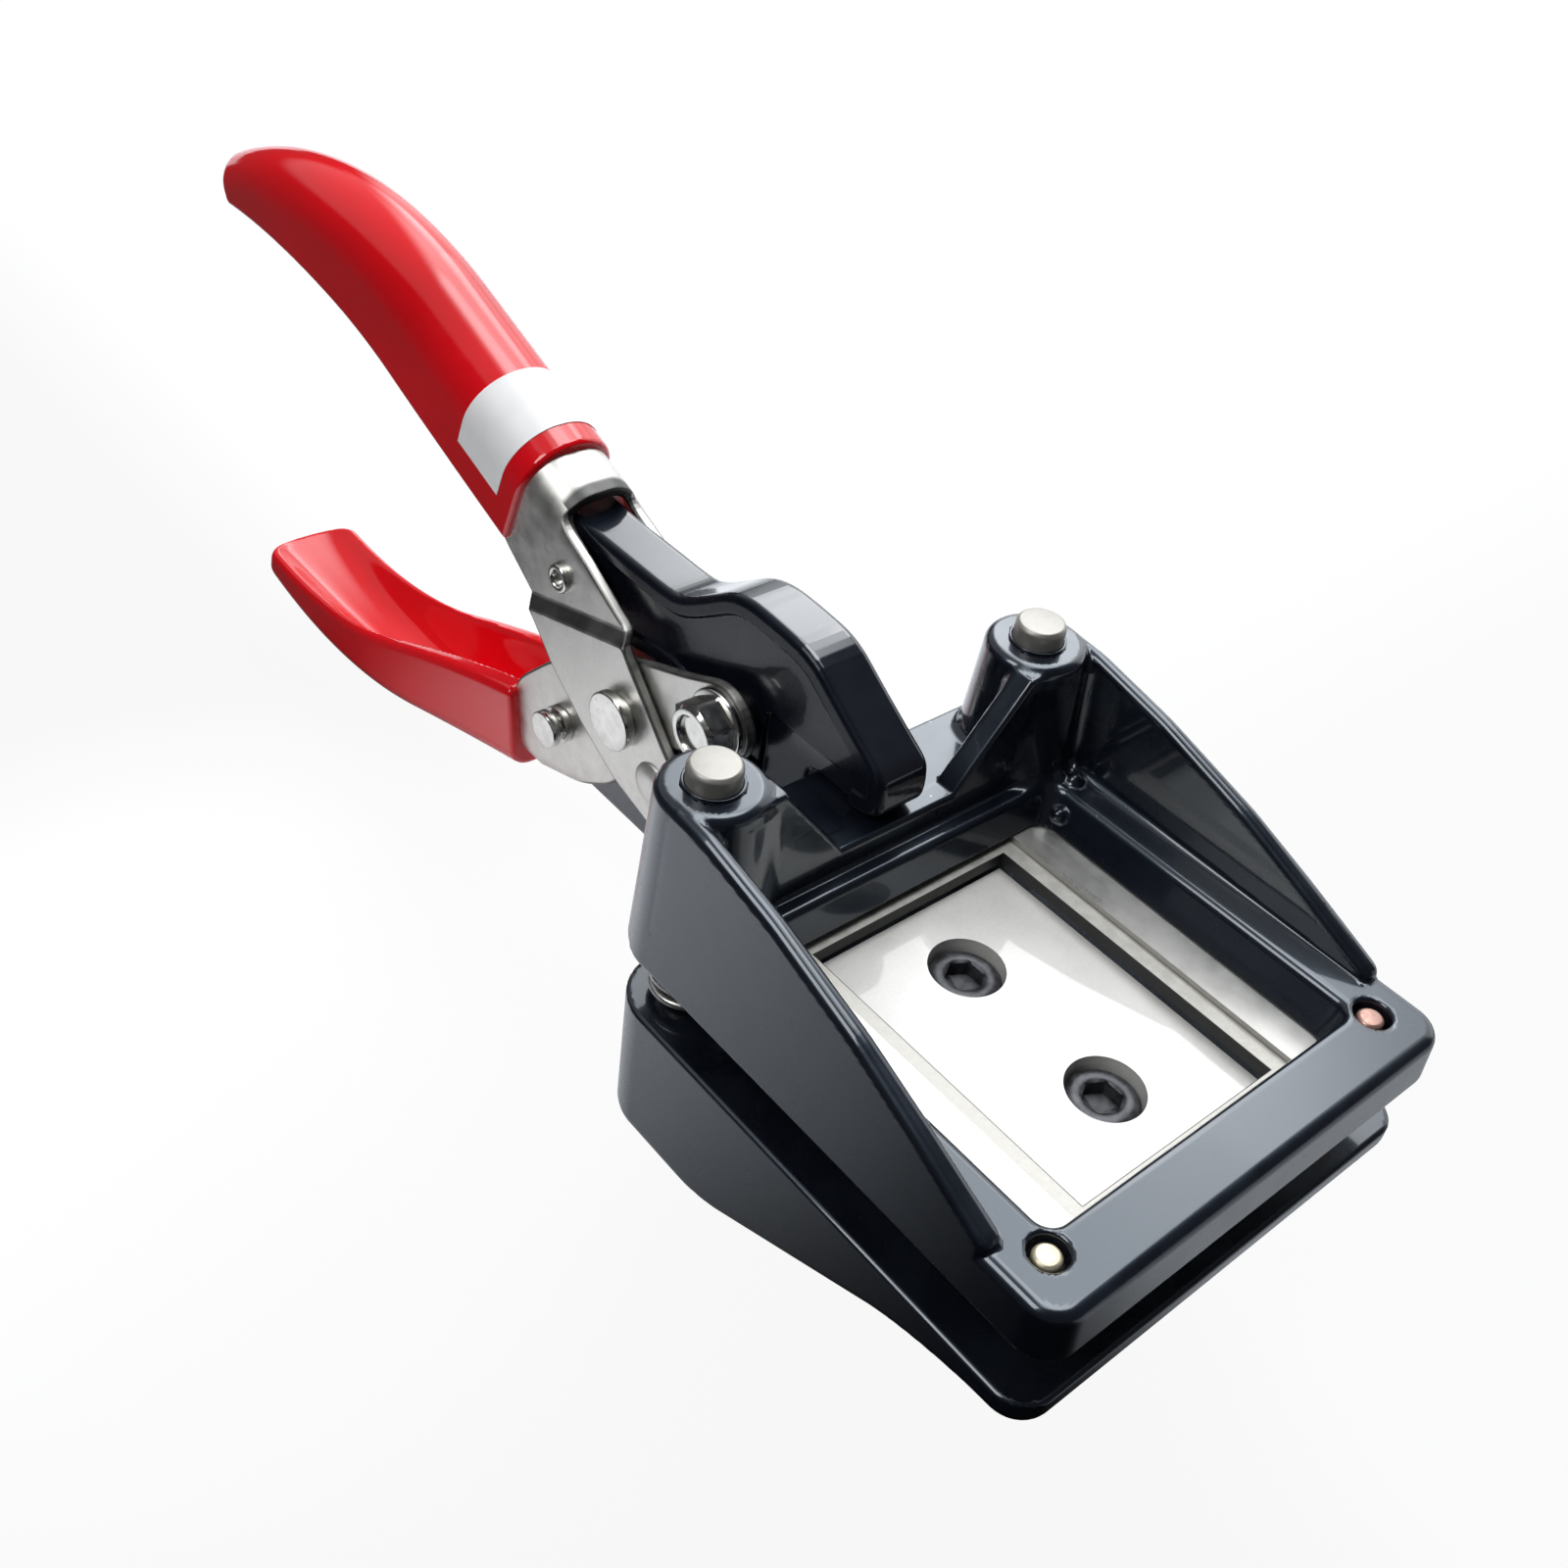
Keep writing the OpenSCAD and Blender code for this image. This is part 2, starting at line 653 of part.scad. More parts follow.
// Screws from below that hold the die plate in the frame
module die_screws() {
    color(bright) for (s = sides, p = [front_screw, rear_screw]) translate([s * p.x, p.y, 0]) {
        up(frame_z, frame_z + die_screw_sink) circle(die_screw_head);
        up(frame_z, plate_top + 4.6) circle(die_screw_r);
    }
}

// Guide bushes in the tops of the bosses
module guide_bushes() {
    color(enamel) for (s = sides) translate([s * post.x, post.y, 0]) difference() {
        up(pocket_top, boss_top) circle(bush_r);
        up(pocket_top - 1, boss_top + 1) circle(post_r + run_fit);
    }
}

// Press arm: casting that turns on the roll pin, is pulled down by the drive bolt and pushes on the ledge
module press_arm() {
    recess = 0.9;
    rim = 2.6;
    slot_end = drive - [slot_travel + free_gap, 0];
    color(enamel) behind() difference() {
        across(-arm_half, arm_half) arm_outline();
        for (s = sides) scale([s, 1, 1]) across(arm_half - recess, arm_half + 1) difference() {
            offset(r = -rim) arm_outline();
            translate(arm_pivot) circle(pin_r + 3.2);
            stadium(drive, slot_end, arm_slot_r + 2.4);
        }
        rod(arm_pivot, pin_r + run_fit, -half_w, half_w);
        across(-half_w, half_w) stadium(drive + [free_gap, 0], slot_end, arm_slot_r);
    }
}

// Side view of the press arm
module arm_outline() {
    nose_z = ledge_z + free_gap;
    polygon([[66, 20.1], [43.4, 20.1], [41.4, 20.7], [34.3, 25.6], [31.5, 26.8], [25, 27.5], [21, 27.5],
        [18.6, 26.8], [16.2, 24.9], [7, 19.8], [5, 18.2], [4.4, 16.6], [4.4, nose_z + 1.6], [6.4, nose_z + 0.3],
        [8, nose_z], [12, nose_z], [17.5, nose_z + 0.4], [20, 7.2], [23.4, 5], [32, 5], [40, 9.4], [51, 9.4],
        [arm_pivot.x - 3, arm_pivot.y - 5], [arm_pivot.x + 4, arm_pivot.y - 4.4], [67.4, arm_pivot.y],
        [67.4, 18.4]]);
}

// Lower handle: sheet-steel channel whose cheeks run past the main pivot to the drive bolt
module lower_handle() {
    color(steel) behind() difference() {
        union() {
            intersection() {
                channel_run(lower_course, web_lip);
                across(-half_w, half_w) channel_outline(lower_course, -web_lip);
            }
            for (s = sides) scale([s, 1, 1]) across(lower_in + 2 * lap, lower_out - 2 * lap) lower_cheek();
        }
        rod(main, pivot_r + run_fit, -half_w, half_w);
        rod(drive, bolt_r + seat_fit, -half_w, half_w);
        rod(spool, spool_r + seat_fit, -half_w, half_w);
    }
}

// Side view of a lower cheek, from inside the grip's mouth to its round end about the drive bolt
module lower_cheek() {
    c = lower_course;
    s = -web_lip - 0.1;
    polygon([steel_edge(c, s), [63.9, -2], [52, 6.9], [43.3, 10.7], [35.8, 13.7], drive + [1.4, 4.9],
        drive + [-3.6, -3.6], [39, 0.5], [46, -6.5], [56, -16.3], [62, -19.6], below(c, s, coat_t + 1.6),
        below(c, s, ferrule_h - 0.8), below(c, 2, ferrule_h - 0.8), below(c, 2, leg_h - 6)]);
    translate(drive) circle(5.1);
}

module lower_grip() {
    color(red) behind() grip(lower_course);
}

// Drive bolt between the lower handle's cheeks
module drive_bolt() {
    head_x = lower_out + washer_t + 2 * seat_fit;
    color(bright) behind() difference() {
        union() {
            hex_rod(drive, hex_af, -head_x - bolt_head_h, -head_x);
            rod(drive, bolt_r, -head_x, head_x + nut_h + 0.6);
        }
        rod(drive, 0.3 * hex_af, -head_x - bolt_head_h - 1, -head_x - bolt_head_h + 0.6);
    }
}

module drive_nut() {
    nut_x = lower_out + washer_t + 2 * seat_fit;
    color(bright) behind() difference() {
        hex_rod(drive, hex_af, nut_x, nut_x + nut_h);
        rod(drive, bolt_r + seat_fit, 0, half_w);
    }
}

module drive_washers() {
    color(steel) behind() for (s = sides) scale([s, 1, 1]) difference() {
        rod(drive, bolt_r + 2.4, lower_out + seat_fit, lower_out + washer_t);
        rod(drive, bolt_r + seat_fit, 0, half_w);
    }
}

// Roller on the drive bolt, in the press arm's slot
module drive_roller() {
    color(steel) behind() difference() {
        rod(drive, roller_r, -lower_in + side_fit, lower_in - side_fit);
        rod(drive, bolt_r + seat_fit, -half_w, half_w);
    }
}

// Spool pin: cross pin with a grooved head on each side
module spool_pin() {
    flange = 1.2;
    groove = 1.2;
    first_x = lower_out + seat_fit;
    color(bright) behind() {
        rod(spool, spool_r, -first_x - flange - groove, first_x + flange + groove);
        for (s = sides) scale([s, 1, 1]) {
            rod(spool, spool_r + 0.9, first_x, first_x + flange);
            rod(spool, spool_r + 0.9, first_x + flange + groove, first_x + 2 * flange + groove);
        }
    }
}

base_casting();
punch_block();
punch_screws();
guide_posts();
upper_handle();
upper_grip();
main_pivot();
pivot_clip();
tail_rivets();
arm_pin();
arm_spacers();
return_spring_left();
return_spring_right();
die_frame();
die_plate();
die_ring();
die_screws();
guide_bushes();
press_arm();
lower_handle();
lower_grip();
drive_bolt();
drive_nut();
drive_washers();
drive_roller();
spool_pin();
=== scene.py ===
import itertools

import bmesh
import bpy
import numpy as np
from mathutils import Matrix, Vector


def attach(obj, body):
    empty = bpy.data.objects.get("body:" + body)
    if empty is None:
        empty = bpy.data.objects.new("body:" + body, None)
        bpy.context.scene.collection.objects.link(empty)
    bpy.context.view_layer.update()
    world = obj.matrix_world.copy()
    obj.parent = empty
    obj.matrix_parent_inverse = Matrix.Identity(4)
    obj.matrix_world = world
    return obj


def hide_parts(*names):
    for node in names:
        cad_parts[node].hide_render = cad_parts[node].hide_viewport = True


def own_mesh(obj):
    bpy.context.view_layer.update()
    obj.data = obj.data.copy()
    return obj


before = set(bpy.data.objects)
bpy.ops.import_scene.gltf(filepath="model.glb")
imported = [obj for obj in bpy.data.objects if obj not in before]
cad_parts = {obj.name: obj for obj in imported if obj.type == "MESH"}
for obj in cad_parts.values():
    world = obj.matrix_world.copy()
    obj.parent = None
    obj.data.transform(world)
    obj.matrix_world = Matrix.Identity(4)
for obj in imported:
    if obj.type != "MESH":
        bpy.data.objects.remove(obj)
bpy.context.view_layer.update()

# Base: a wedge-shaped zinc casting with a raised bed for the photo and a flat tail between the handle cheeks.
# It is sand-blasted, dipped in gloss black enamel and baked, so every edge is soft and the paint thins there.


def meet(a, b, r):
    """Where two solids overlap, as a distance: the larger of both distances, with the edge rounded to radius r."""
    return (np.minimum(np.maximum(a + r, b + r), 0)
            + np.hypot(np.maximum(a + r, 0), np.maximum(b + r, 0)) - r)


def join(a, b, r):
    """Two solids made one: the smaller of both distances, with a fillet of radius r in the corner."""
    return -meet(-a, -b, r)


def cut(a, b, r):
    """Solid a without solid b, with the new edge rounded to radius r."""
    return meet(a, -b, r)


def round_rect(x, y, half_x, half_y, r):
    """Distance to a rectangle about the origin with corners of radius r: two strips that meet."""
    return meet(np.abs(x) - half_x, np.abs(y) - half_y, r)


def rounded(corners, r, closed=True, steps=4):
    """Line through corners with each one eased over: a quadratic curve from r before the corner to r after it,
    or to a little under half of a shorter side."""
    p = np.array(corners, float)
    before, after = np.roll(p, 1, 0) - p, np.roll(p, -1, 0) - p
    reach = [np.minimum(r / np.maximum(np.linalg.norm(d, axis=1), 1e-9), 0.48)[:, None] for d in (before, after)]
    a, b = p + before * reach[0], p + after * reach[1]
    t = np.linspace(0, 1, steps)[None, :, None]
    eased = (1 - t) ** 2 * a[:, None] + 2 * t * (1 - t) * p[:, None] + t ** 2 * b[:, None]
    if closed:
        return eased.reshape(-1, 2)
    return np.concatenate([p[:1], eased[1:-1].reshape(-1, 2), p[-1:]])


def outline(u, v, corners):
    """Distance to a closed outline in a plane: the least distance to its sides, negative where a line drawn
    sideways from the point crosses an odd number of them."""
    far, inside = np.inf, False
    for (u0, v0), (u1, v1) in zip(corners, np.roll(corners, -1, axis=0)):
        du, dv = u1 - u0, v1 - v0
        if du * du + dv * dv < 1e-12:
            continue
        t = np.clip(((u - u0) * du + (v - v0) * dv) / (du * du + dv * dv), 0, 1)
        far = np.minimum(far, np.hypot(u - u0 - t * du, v - v0 - t * dv))
        inside = inside ^ (((v0 > v) != (v1 > v)) & (u < u0 + du * (v - v0) / (dv if dv else 1e-9)))
    return np.where(inside, -far, far)


def put(name, points, faces):
    """New piece from points in millimetres and rows of point numbers, all rows of one length."""
    mesh = bpy.data.meshes.new(name)
    mesh.vertices.add(len(points))
    mesh.vertices.foreach_set("co", (np.asarray(points) / 1000).ravel())
    mesh.loops.add(faces.size)
    mesh.loops.foreach_set("vertex_index", faces.ravel().astype(np.int32))
    mesh.polygons.add(len(faces))
    mesh.polygons.foreach_set("loop_start", np.arange(0, faces.size, faces.shape[1], dtype=np.int32))
    mesh.update(calc_edges=True)
    mesh.validate()
    mesh.shade_smooth()
    piece = bpy.data.objects.new(name, mesh)
    bpy.context.scene.collection.objects.link(piece)
    return piece


def slope_of(field, p, h):
    """Slope of a field at points p: half the change of the field from h behind to h ahead on each axis, and the
    mean of those six values, which is above zero on an outer edge and below it in a corner."""
    ahead = [[field(*(p + sign * h * np.eye(3)[axis]).T) for sign in (1, -1)] for axis in range(3)]
    return np.stack([(a - b) / (2 * h) for a, b in ahead], -1), np.mean(ahead, axis=(0, 1))


def skin(name, field, low, high, step):
    """Skin of a casting or pressing, where its field of distances is zero. The field is worked out on a grid.
    Each cell that the skin passes through gets a point, at the mean of the places where the cell's edges cross
    zero, then moved down the field's slope on to the skin. Each grid edge that crosses zero joins the points of
    the four cells round it. The slope gives the normals, and how sharp the skin turns is kept as "edge"."""
    axes = [np.arange(a, b + step, step) for a, b in zip(low, high)]
    n = [len(a) for a in axes]
    f = np.broadcast_to(field(axes[0][:, None, None], axes[1][None, :, None], axes[2][None, None, :]), n)
    inside = f < 0
    corners = sum(inside[i:n[0] - 1 + i, j:n[1] - 1 + j, k:n[2] - 1 + k].astype(np.int8)
                  for i, j, k in itertools.product((0, 1), repeat=3))
    crossed = (corners > 0) & (corners < 8)
    number = np.zeros(crossed.shape, np.int64)
    number[crossed] = np.arange(crossed.sum())
    cell = np.argwhere(crossed)
    total, count = np.zeros((len(cell), 3)), np.zeros((len(cell), 1))
    for axis in range(3):
        for shift in itertools.product((0, 1), repeat=2):
            start = cell.copy()
            start[:, [(axis + 1) % 3, (axis + 2) % 3]] += shift
            end = start + np.eye(3, dtype=int)[axis]
            a, b = f[tuple(start.T)], f[tuple(end.T)]
            hit = ((a < 0) != (b < 0))[:, None]
            t = np.where(hit[:, 0], a / np.where(hit[:, 0], a - b, 1), 0)[:, None]
            total += hit * (start + t * np.eye(3)[axis])
            count += hit
    points = np.array(low) + step * total / count
    for _ in range(2):
        slope = slope_of(field, points, 0.03)[0]
        size = np.maximum((slope ** 2).sum(1), 0.2)
        points -= np.clip(field(*points.T) / size, -step / 2, step / 2)[:, None] * slope
    faces = []
    for axis in range(3):
        u, v = (axis + 1) % 3, (axis + 2) % 3
        grid, values = np.moveaxis(number, [axis, u, v], [0, 1, 2]), np.moveaxis(inside, [axis, u, v], [0, 1, 2])
        flip = values[:-1, 1:-1, 1:-1] != values[1:, 1:-1, 1:-1]
        ring = np.stack([grid[:, :-1, :-1], grid[:, 1:, :-1], grid[:, 1:, 1:], grid[:, :-1, 1:]], -1)[flip]
        faces.append(np.where(values[:-1, 1:-1, 1:-1][flip][:, None], ring, ring[:, ::-1]))
    piece = put(name, points, np.concatenate(faces))
    slope = slope_of(field, points, 0.06)[0]
    slope /= np.maximum(np.linalg.norm(slope, axis=1, keepdims=True), 1e-6)
    piece.data.normals_split_custom_set_from_vertices(slope.tolist())
    piece.data.attributes.new("edge", "FLOAT", "POINT").data.foreach_set("value", slope_of(field, points, 0.7)[1])
    return piece


class Paint:
    """One value of a finish: a socket of a node. Signs of arithmetic between values add Math nodes."""

    def __init__(self, tree, socket):
        self.tree, self.socket = tree, socket

    def node(self, kind, settings=(), sockets=(), out=0):
        """New node of a kind, with its settings, then the values or links of its sockets."""
        made = self.tree.nodes.new(kind)
        for key, value in dict(settings).items():
            setattr(made, key, value)
        for key, value in dict(sockets).items():
            if isinstance(value, Paint):
                self.tree.links.new(value.socket, made.inputs[key])
            else:
                made.inputs[key].default_value = value
        return Paint(self.tree, made.outputs[out])

    def sum(self, sign, a, b):
        """Math node between two values."""
        return self.node("ShaderNodeMath", {"operation": sign}, {0: a, 1: b})

    def __add__(self, other):
        return self.sum("ADD", self, other)

    def __mul__(self, other):
        return self.sum("MULTIPLY", self, other)

    def __sub__(self, other):
        return self.sum("SUBTRACT", self, other)

    def __rsub__(self, other):
        return self.sum("SUBTRACT", other, self)

    __radd__, __rmul__ = __add__, __mul__

    def step(self, low, high, start=0.0, end=1.0):
        """Smooth change from start to end as the value goes from low to high."""
        return self.node("ShaderNodeMapRange", {"interpolation_type": "SMOOTHSTEP"}, {
            "Value": self, "From Min": low, "From Max": high, "To Min": start, "To Max": end})

    def noise(self, mm, detail=2.0, rough=0.5, stretch=(1, 1, 1), turn=(0, 0, 0)):
        """Noise with lumps of about mm millimetres, drawn out along an axis where stretch is below 1."""
        place = self.node("ShaderNodeMapping", {}, {"Vector": self, "Scale": stretch, "Rotation": turn})
        return self.node("ShaderNodeTexNoise", {}, {
            "Vector": place, "Scale": 1000 / mm, "Detail": detail, "Roughness": rough})

    def grains(self, mm):
        """Distance to the nearest of scattered points that lie about mm millimetres apart."""
        return self.node("ShaderNodeTexVoronoi", {}, {"Vector": self, "Scale": 1000 / mm})

    def axis(self, number):
        """One coordinate of a place: 0 across, 1 along, 2 up."""
        return self.node("ShaderNodeSeparateXYZ", {}, {0: self}, number)

    def vector(self, sign, other=(0, 0, 0), out=0):
        """Vector Math node between a place and another; out is 1 where the result is one number."""
        return self.node("ShaderNodeVectorMath", {"operation": sign}, {0: self, 1: other}, out)

    def mix(self, a, b):
        """Colour a where the value is 0, b where it is 1."""
        return self.node("ShaderNodeMix", {"data_type": "RGBA"}, {0: self, 6: a, 7: b}, 2)

    def bump(self, depth_mm, strength=1.0):
        """Normal of a surface whose height is the value times depth_mm."""
        return self.node("ShaderNodeBump", {}, {"Strength": strength, "Distance": depth_mm / 1000, "Height": self})


def blank(owner):
    """Empty node tree of a material or a world."""
    owner.use_nodes = True
    owner.node_tree.nodes.clear()
    return owner.node_tree


def show(shader, kind="ShaderNodeOutputMaterial"):
    """Leads a shader to the output of its tree."""
    shader.tree.links.new(shader.socket, shader.tree.nodes.new(kind).inputs["Surface"])


def finish(name, make):
    """New material: make(place) gives the sockets of its Principled shader, from the place on the object."""
    material = bpy.data.materials.new(name)
    tree = blank(material)
    place = Paint(tree, tree.nodes.new("ShaderNodeTexCoord").outputs["Object"])
    show(place.node("ShaderNodeBsdfPrincipled", {}, make(place)))
    return material


def fit(piece, material, body, slot, *nodes):
    """Gives a piece its finish and its place on a body, and says which solids it stands for."""
    piece.data.materials.append(material)
    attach(piece, body)
    if nodes:
        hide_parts(*nodes)


def enamel_look(place, relief=0.0):
    """Baked gloss enamel: blue-black, with a fine orange peel, rubbed grey on its sharpest edges, dust specks."""
    edge = place.node("ShaderNodeAttribute", {"attribute_name": "edge"}, {}, 2)
    cloud = place.noise(7, 3)
    rub = edge.step(0.13, 0.34) * place.noise(1.1, 4, 0.7).step(0.46, 0.7)
    chip = edge.step(0.1, 0.28) * place.noise(2.3, 5, 0.75).step(0.67, 0.71)
    dust = place.grains(7).step(0.03, 0.016) * place.noise(19, 0).step(0.5, 0.56)
    scuff = place.noise(0.5, 3, 0.6, (1, 0.08, 0.6), (0.4, 0.2, 0.7)).step(0.68, 0.74) * cloud.step(0.5, 0.65)
    colour = cloud.step(0.3, 0.7).mix((0.0035, 0.0045, 0.0085, 1), (0.006, 0.0075, 0.013, 1))
    colour = (rub * 0.25 + scuff * 0.08).mix(colour, (0.12, 0.12, 0.125, 1))
    colour = chip.mix(colour, (0.3, 0.3, 0.3, 1))
    colour = (dust * 0.85).mix(colour, (0.6, 0.6, 0.61, 1))
    return {
        "Base Color": colour,
        "Roughness": cloud.step(0.25, 0.75, 0.24, 0.32) + rub * 0.14 + chip * 0.1 + scuff * 0.1,
        "Metallic": chip * 0.8,
        "IOR": 1.5,
        "Coat Weight": 0.8,
        "Coat Roughness": 0.07,
        "Coat IOR": 1.55,
        "Specular Tint": (0.7, 0.85, 1.0, 1),
        "Coat Tint": (0.9, 0.95, 1, 1),
        "Normal": (place.noise(1.1, 2) + place.noise(3.5, 1) * 0.8 + relief).bump(0.02, 0.4),
    }


black_enamel = finish("black_enamel", enamel_look)


def base_field(x, y, z):
    """Plan with front corners of 4 mm and rear corners of 7 mm about the guide posts, cut below by the lip, the
    slope and the rear pad, with a shallow rim round the bed; the tail and its rivet bosses are joined on."""
    r = np.where(y > 3.25, 7.0, 4.0)
    plan = round_rect(x, y - 3.25, 31, 33.15, r)
    slope = -0.4173 * (y + 17.8) - 0.9087 * (z + 10.3)
    under = meet(-26.1 - z, join(-10.3 - z, slope, 3.0), 2.5)
    body = meet(meet(plan, under, 2.0), z + 5.9, 1.0)
    bed = round_rect(x, y - 5.3, 25.7, 29.4, 4.0)
    body = meet(body, join(bed, z + 6.5, 0.4), 0.4)
    tail = outline(y, z, rounded([(26, -7), (26, -20.7), (50, -18.2), (76.8, -18.2), (76.8, -9), (70.9, 1.5),
                                  (69.2, 5.4), (65.7, 6.7), (62.2, 5.4), (60.5, 1.5), (54, -6.9)], 1.6))
    tail = meet(tail, np.abs(x) - 4.6, 0.5)
    for ry, rz in ((58.3, -4.5), (50, -9)):
        tail = np.minimum(tail, meet(np.hypot(y - ry, z - rz) - 3.2, np.abs(x) - 6.33, 0.2))
    return join(body, tail, 2.0)


base_body = skin("base_body", base_field, (-32, -31, -27), (32, 78, 7.6), 0.5)
fit(base_body, black_enamel, "base", "black_enamel", "base_casting")

# Punch: a block of tool steel, ground flat on top, let into the base and held by two screws in counterbores.
# Its solid has the sharp cutting edges of the real one, so only its finish is made here.


def ground_look(place):
    """Surface-ground steel: fine straight grinding lines across the block, soft clouds, and a few faint stains."""
    lines = place.noise(0.5, 3, 0.6, (0.05, 1.0, 1.0), (0, 0, 0.5))
    cloud = place.noise(9, 4, 0.6)
    grain = place.noise(0.45, 3, 0.6)
    stain = place.noise(3.2, 4, 0.7).step(0.66, 0.74)
    colour = cloud.step(0.3, 0.7).mix((0.6, 0.597, 0.575, 1), (0.69, 0.686, 0.662, 1))
    colour = (grain.step(0.35, 0.7) * 0.3).mix(colour, (0.74, 0.736, 0.712, 1))
    colour = (stain * 0.3).mix(colour, (0.3, 0.285, 0.255, 1))
    return {
        "Base Color": colour,
        "Metallic": 0.12,
        "Roughness": cloud.step(0.3, 0.7, 0.36, 0.42) + stain * 0.08 + grain.step(0.35, 0.65) * 0.05,
        "Coat Weight": 0.55,
        "Coat Roughness": 0.03,
        "Coat IOR": 1.6,
        "Normal": (lines * 0.6 + grain).bump(0.003, 0.4),
    }


def dress(material, *nodes):
    """Gives a finish to solids that are shown as they are."""
    for node in nodes:
        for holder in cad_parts[node].material_slots:
            holder.material = material


dress(finish("ground_steel", ground_look), "punch_block")

# Punch screws: two M5 socket heads of black-oxide steel, with a turned rim and a hexagonal socket.


def turned(name, profile, places, axis=2, sides=96, sharp=35):
    """Turned pieces: profile rows (radius, height, hexagon) carried round an axis through each place. Where
    hexagon is above 0 the radius is the least of the circle's and a hexagon's with that distance to its flats."""
    rows = np.array([tuple(row) + (0,) * (3 - len(row)) for row in profile], float)
    angle = np.arange(sides) * 2 * np.pi / sides
    flat = 1 / np.cos((angle + np.pi / 6) % (np.pi / 3) - np.pi / 6)
    radius = np.where(rows[:, 2:] > 0, np.minimum(rows[:, :1], rows[:, 2:] * flat), rows[:, :1])
    ring = np.stack([radius * np.cos(angle), radius * np.sin(angle), np.repeat(rows[:, 1:2], sides, 1)], -1)
    ring = np.roll(ring, axis + 1, axis=2)
    number = np.arange(len(rows) * sides).reshape(len(rows), sides)
    right = np.roll(number, -1, 1)
    faces = np.stack([number[:-1], right[:-1], right[1:], number[1:]], -1).reshape(-1, 4)
    points = np.concatenate([ring.reshape(-1, 3) + place for place in np.atleast_2d(places)])
    faces = np.concatenate([faces + i * number.size for i in range(len(np.atleast_2d(places)))])
    piece = put(name, points, faces)
    weld(piece, sharp)
    return piece


def weld(piece, sharp):
    """Closes a piece where its rings shrink to a point or meet, points its faces outwards and keeps crisp edges
    that turn by more than sharp degrees."""
    work = bmesh.new()
    work.from_mesh(piece.data)
    bmesh.ops.remove_doubles(work, verts=work.verts, dist=1e-7)
    bmesh.ops.recalc_face_normals(work, faces=work.faces)
    work.to_mesh(piece.data)
    work.free()
    piece.data.shade_smooth()
    piece.data.set_sharp_from_angle(angle=np.radians(sharp))


def oxide_look(place):
    """Black oxide on steel: dark and slightly bronze, with dull and shiny patches and fine turning marks."""
    cloud = place.noise(1.6, 4, 0.65)
    return {
        "Base Color": cloud.step(0.35, 0.7).mix((0.035, 0.036, 0.041, 1), (0.1, 0.103, 0.113, 1)),
        "Metallic": 0.6,
        "Roughness": cloud.step(0.3, 0.7, 0.32, 0.48),
        "Normal": place.noise(0.3, 3).bump(0.006, 0.5),
    }


black_oxide = finish("black_oxide", oxide_look)
head = [(0, -11.6), (2.2, -11.6), (2.5, -11.2), (2.5, -5), (4.1, -5), (4.1, -1.75), (3.95, -1.5), (3.6, -1.32),
        (3.3, -1.2), (2.62, -1.2), (2.4, -1.28), (2.36, -1.45, 2.05), (2.31, -3.3, 2), (0, -3.9)]
punch_screws = turned("punch_screw_heads", head, [(0, -10.45, 0), (0, 10.45, 0)])
fit(punch_screws, black_oxide, "base", "black_oxide", "punch_screws")

# Guide posts: two hardened steel pins, ground along their length, faced on the lathe and pressed into the base.


def pin_look(place):
    """Ground and faced pin steel: warm light grey, faint turning rings and light scuffs."""
    cloud = place.noise(2.5, 4, 0.6)
    scuff = place.noise(0.9, 5, 0.7, (1, 1, 0.2)).step(0.6, 0.75)
    colour = cloud.step(0.3, 0.7).mix((0.31, 0.3, 0.275, 1), (0.39, 0.38, 0.355, 1))
    return {
        "Base Color": (scuff * 0.35).mix(colour, (0.3, 0.285, 0.26, 1)),
        "Metallic": 0.6,
        "Roughness": cloud.step(0.3, 0.7, 0.36, 0.46) + scuff * 0.1,
        "Normal": (cloud + scuff * 0.4).bump(0.006, 0.4),
    }


pin_steel = finish("pin_steel", pin_look)
post = rounded([(0, -18.9), (3, -18.9), (3, 26.55), (2.68, 27.0), (0, 27.0)], 0.18, False, 4)
post_x, post_y = 24, 29.4
post_places = [(-post_x, post_y, 0), (post_x, post_y, 0)]
guide_posts = turned("guide_post_pins", post, post_places, sharp=50)
fit(guide_posts, pin_steel, "base", "ground_steel", "guide_posts")

# Return springs: one coil of spring wire round each post, from the base up into the boss, closed at both ends.


def coil(name, centre):
    """Wire of 1 mm wound on a helix of 4.25 mm radius: a circle carried along the helix, whose pitch eases to
    nothing at both ends so that the last turns lie flat."""
    turns, wire = 7.5, 0.5
    t = np.linspace(0, 1, int(turns * 48))
    rise = t - 0.07 * np.sin(2 * np.pi * t)
    angle = 2 * np.pi * turns * t
    low, high = spring_foot + wire + 0.02, spring_top - wire - 0.02
    b = np.linspace(0, 2 * np.pi, 16, endpoint=False)
    fat = wire * np.sqrt(np.clip(1 - np.clip(np.abs(2 * t - 1) * 1.004 - 0.996, 0, 1) * 120, 0, 1))
    r = 4.25 + fat[:, None] * np.cos(b)
    height = (low + (high - low) * rise)[:, None] + fat[:, None] * np.sin(b)
    points = np.stack([centre[0] + r * np.cos(angle)[:, None], centre[1] + r * np.sin(angle)[:, None], height], -1)
    number = np.arange(len(t) * len(b)).reshape(len(t), len(b))
    right = np.roll(number, -1, 1)
    piece = put(name, points.reshape(-1, 3),
                np.stack([number[:-1], right[:-1], right[1:], number[1:]], -1).reshape(-1, 4))
    weld(piece, 60)
    return piece


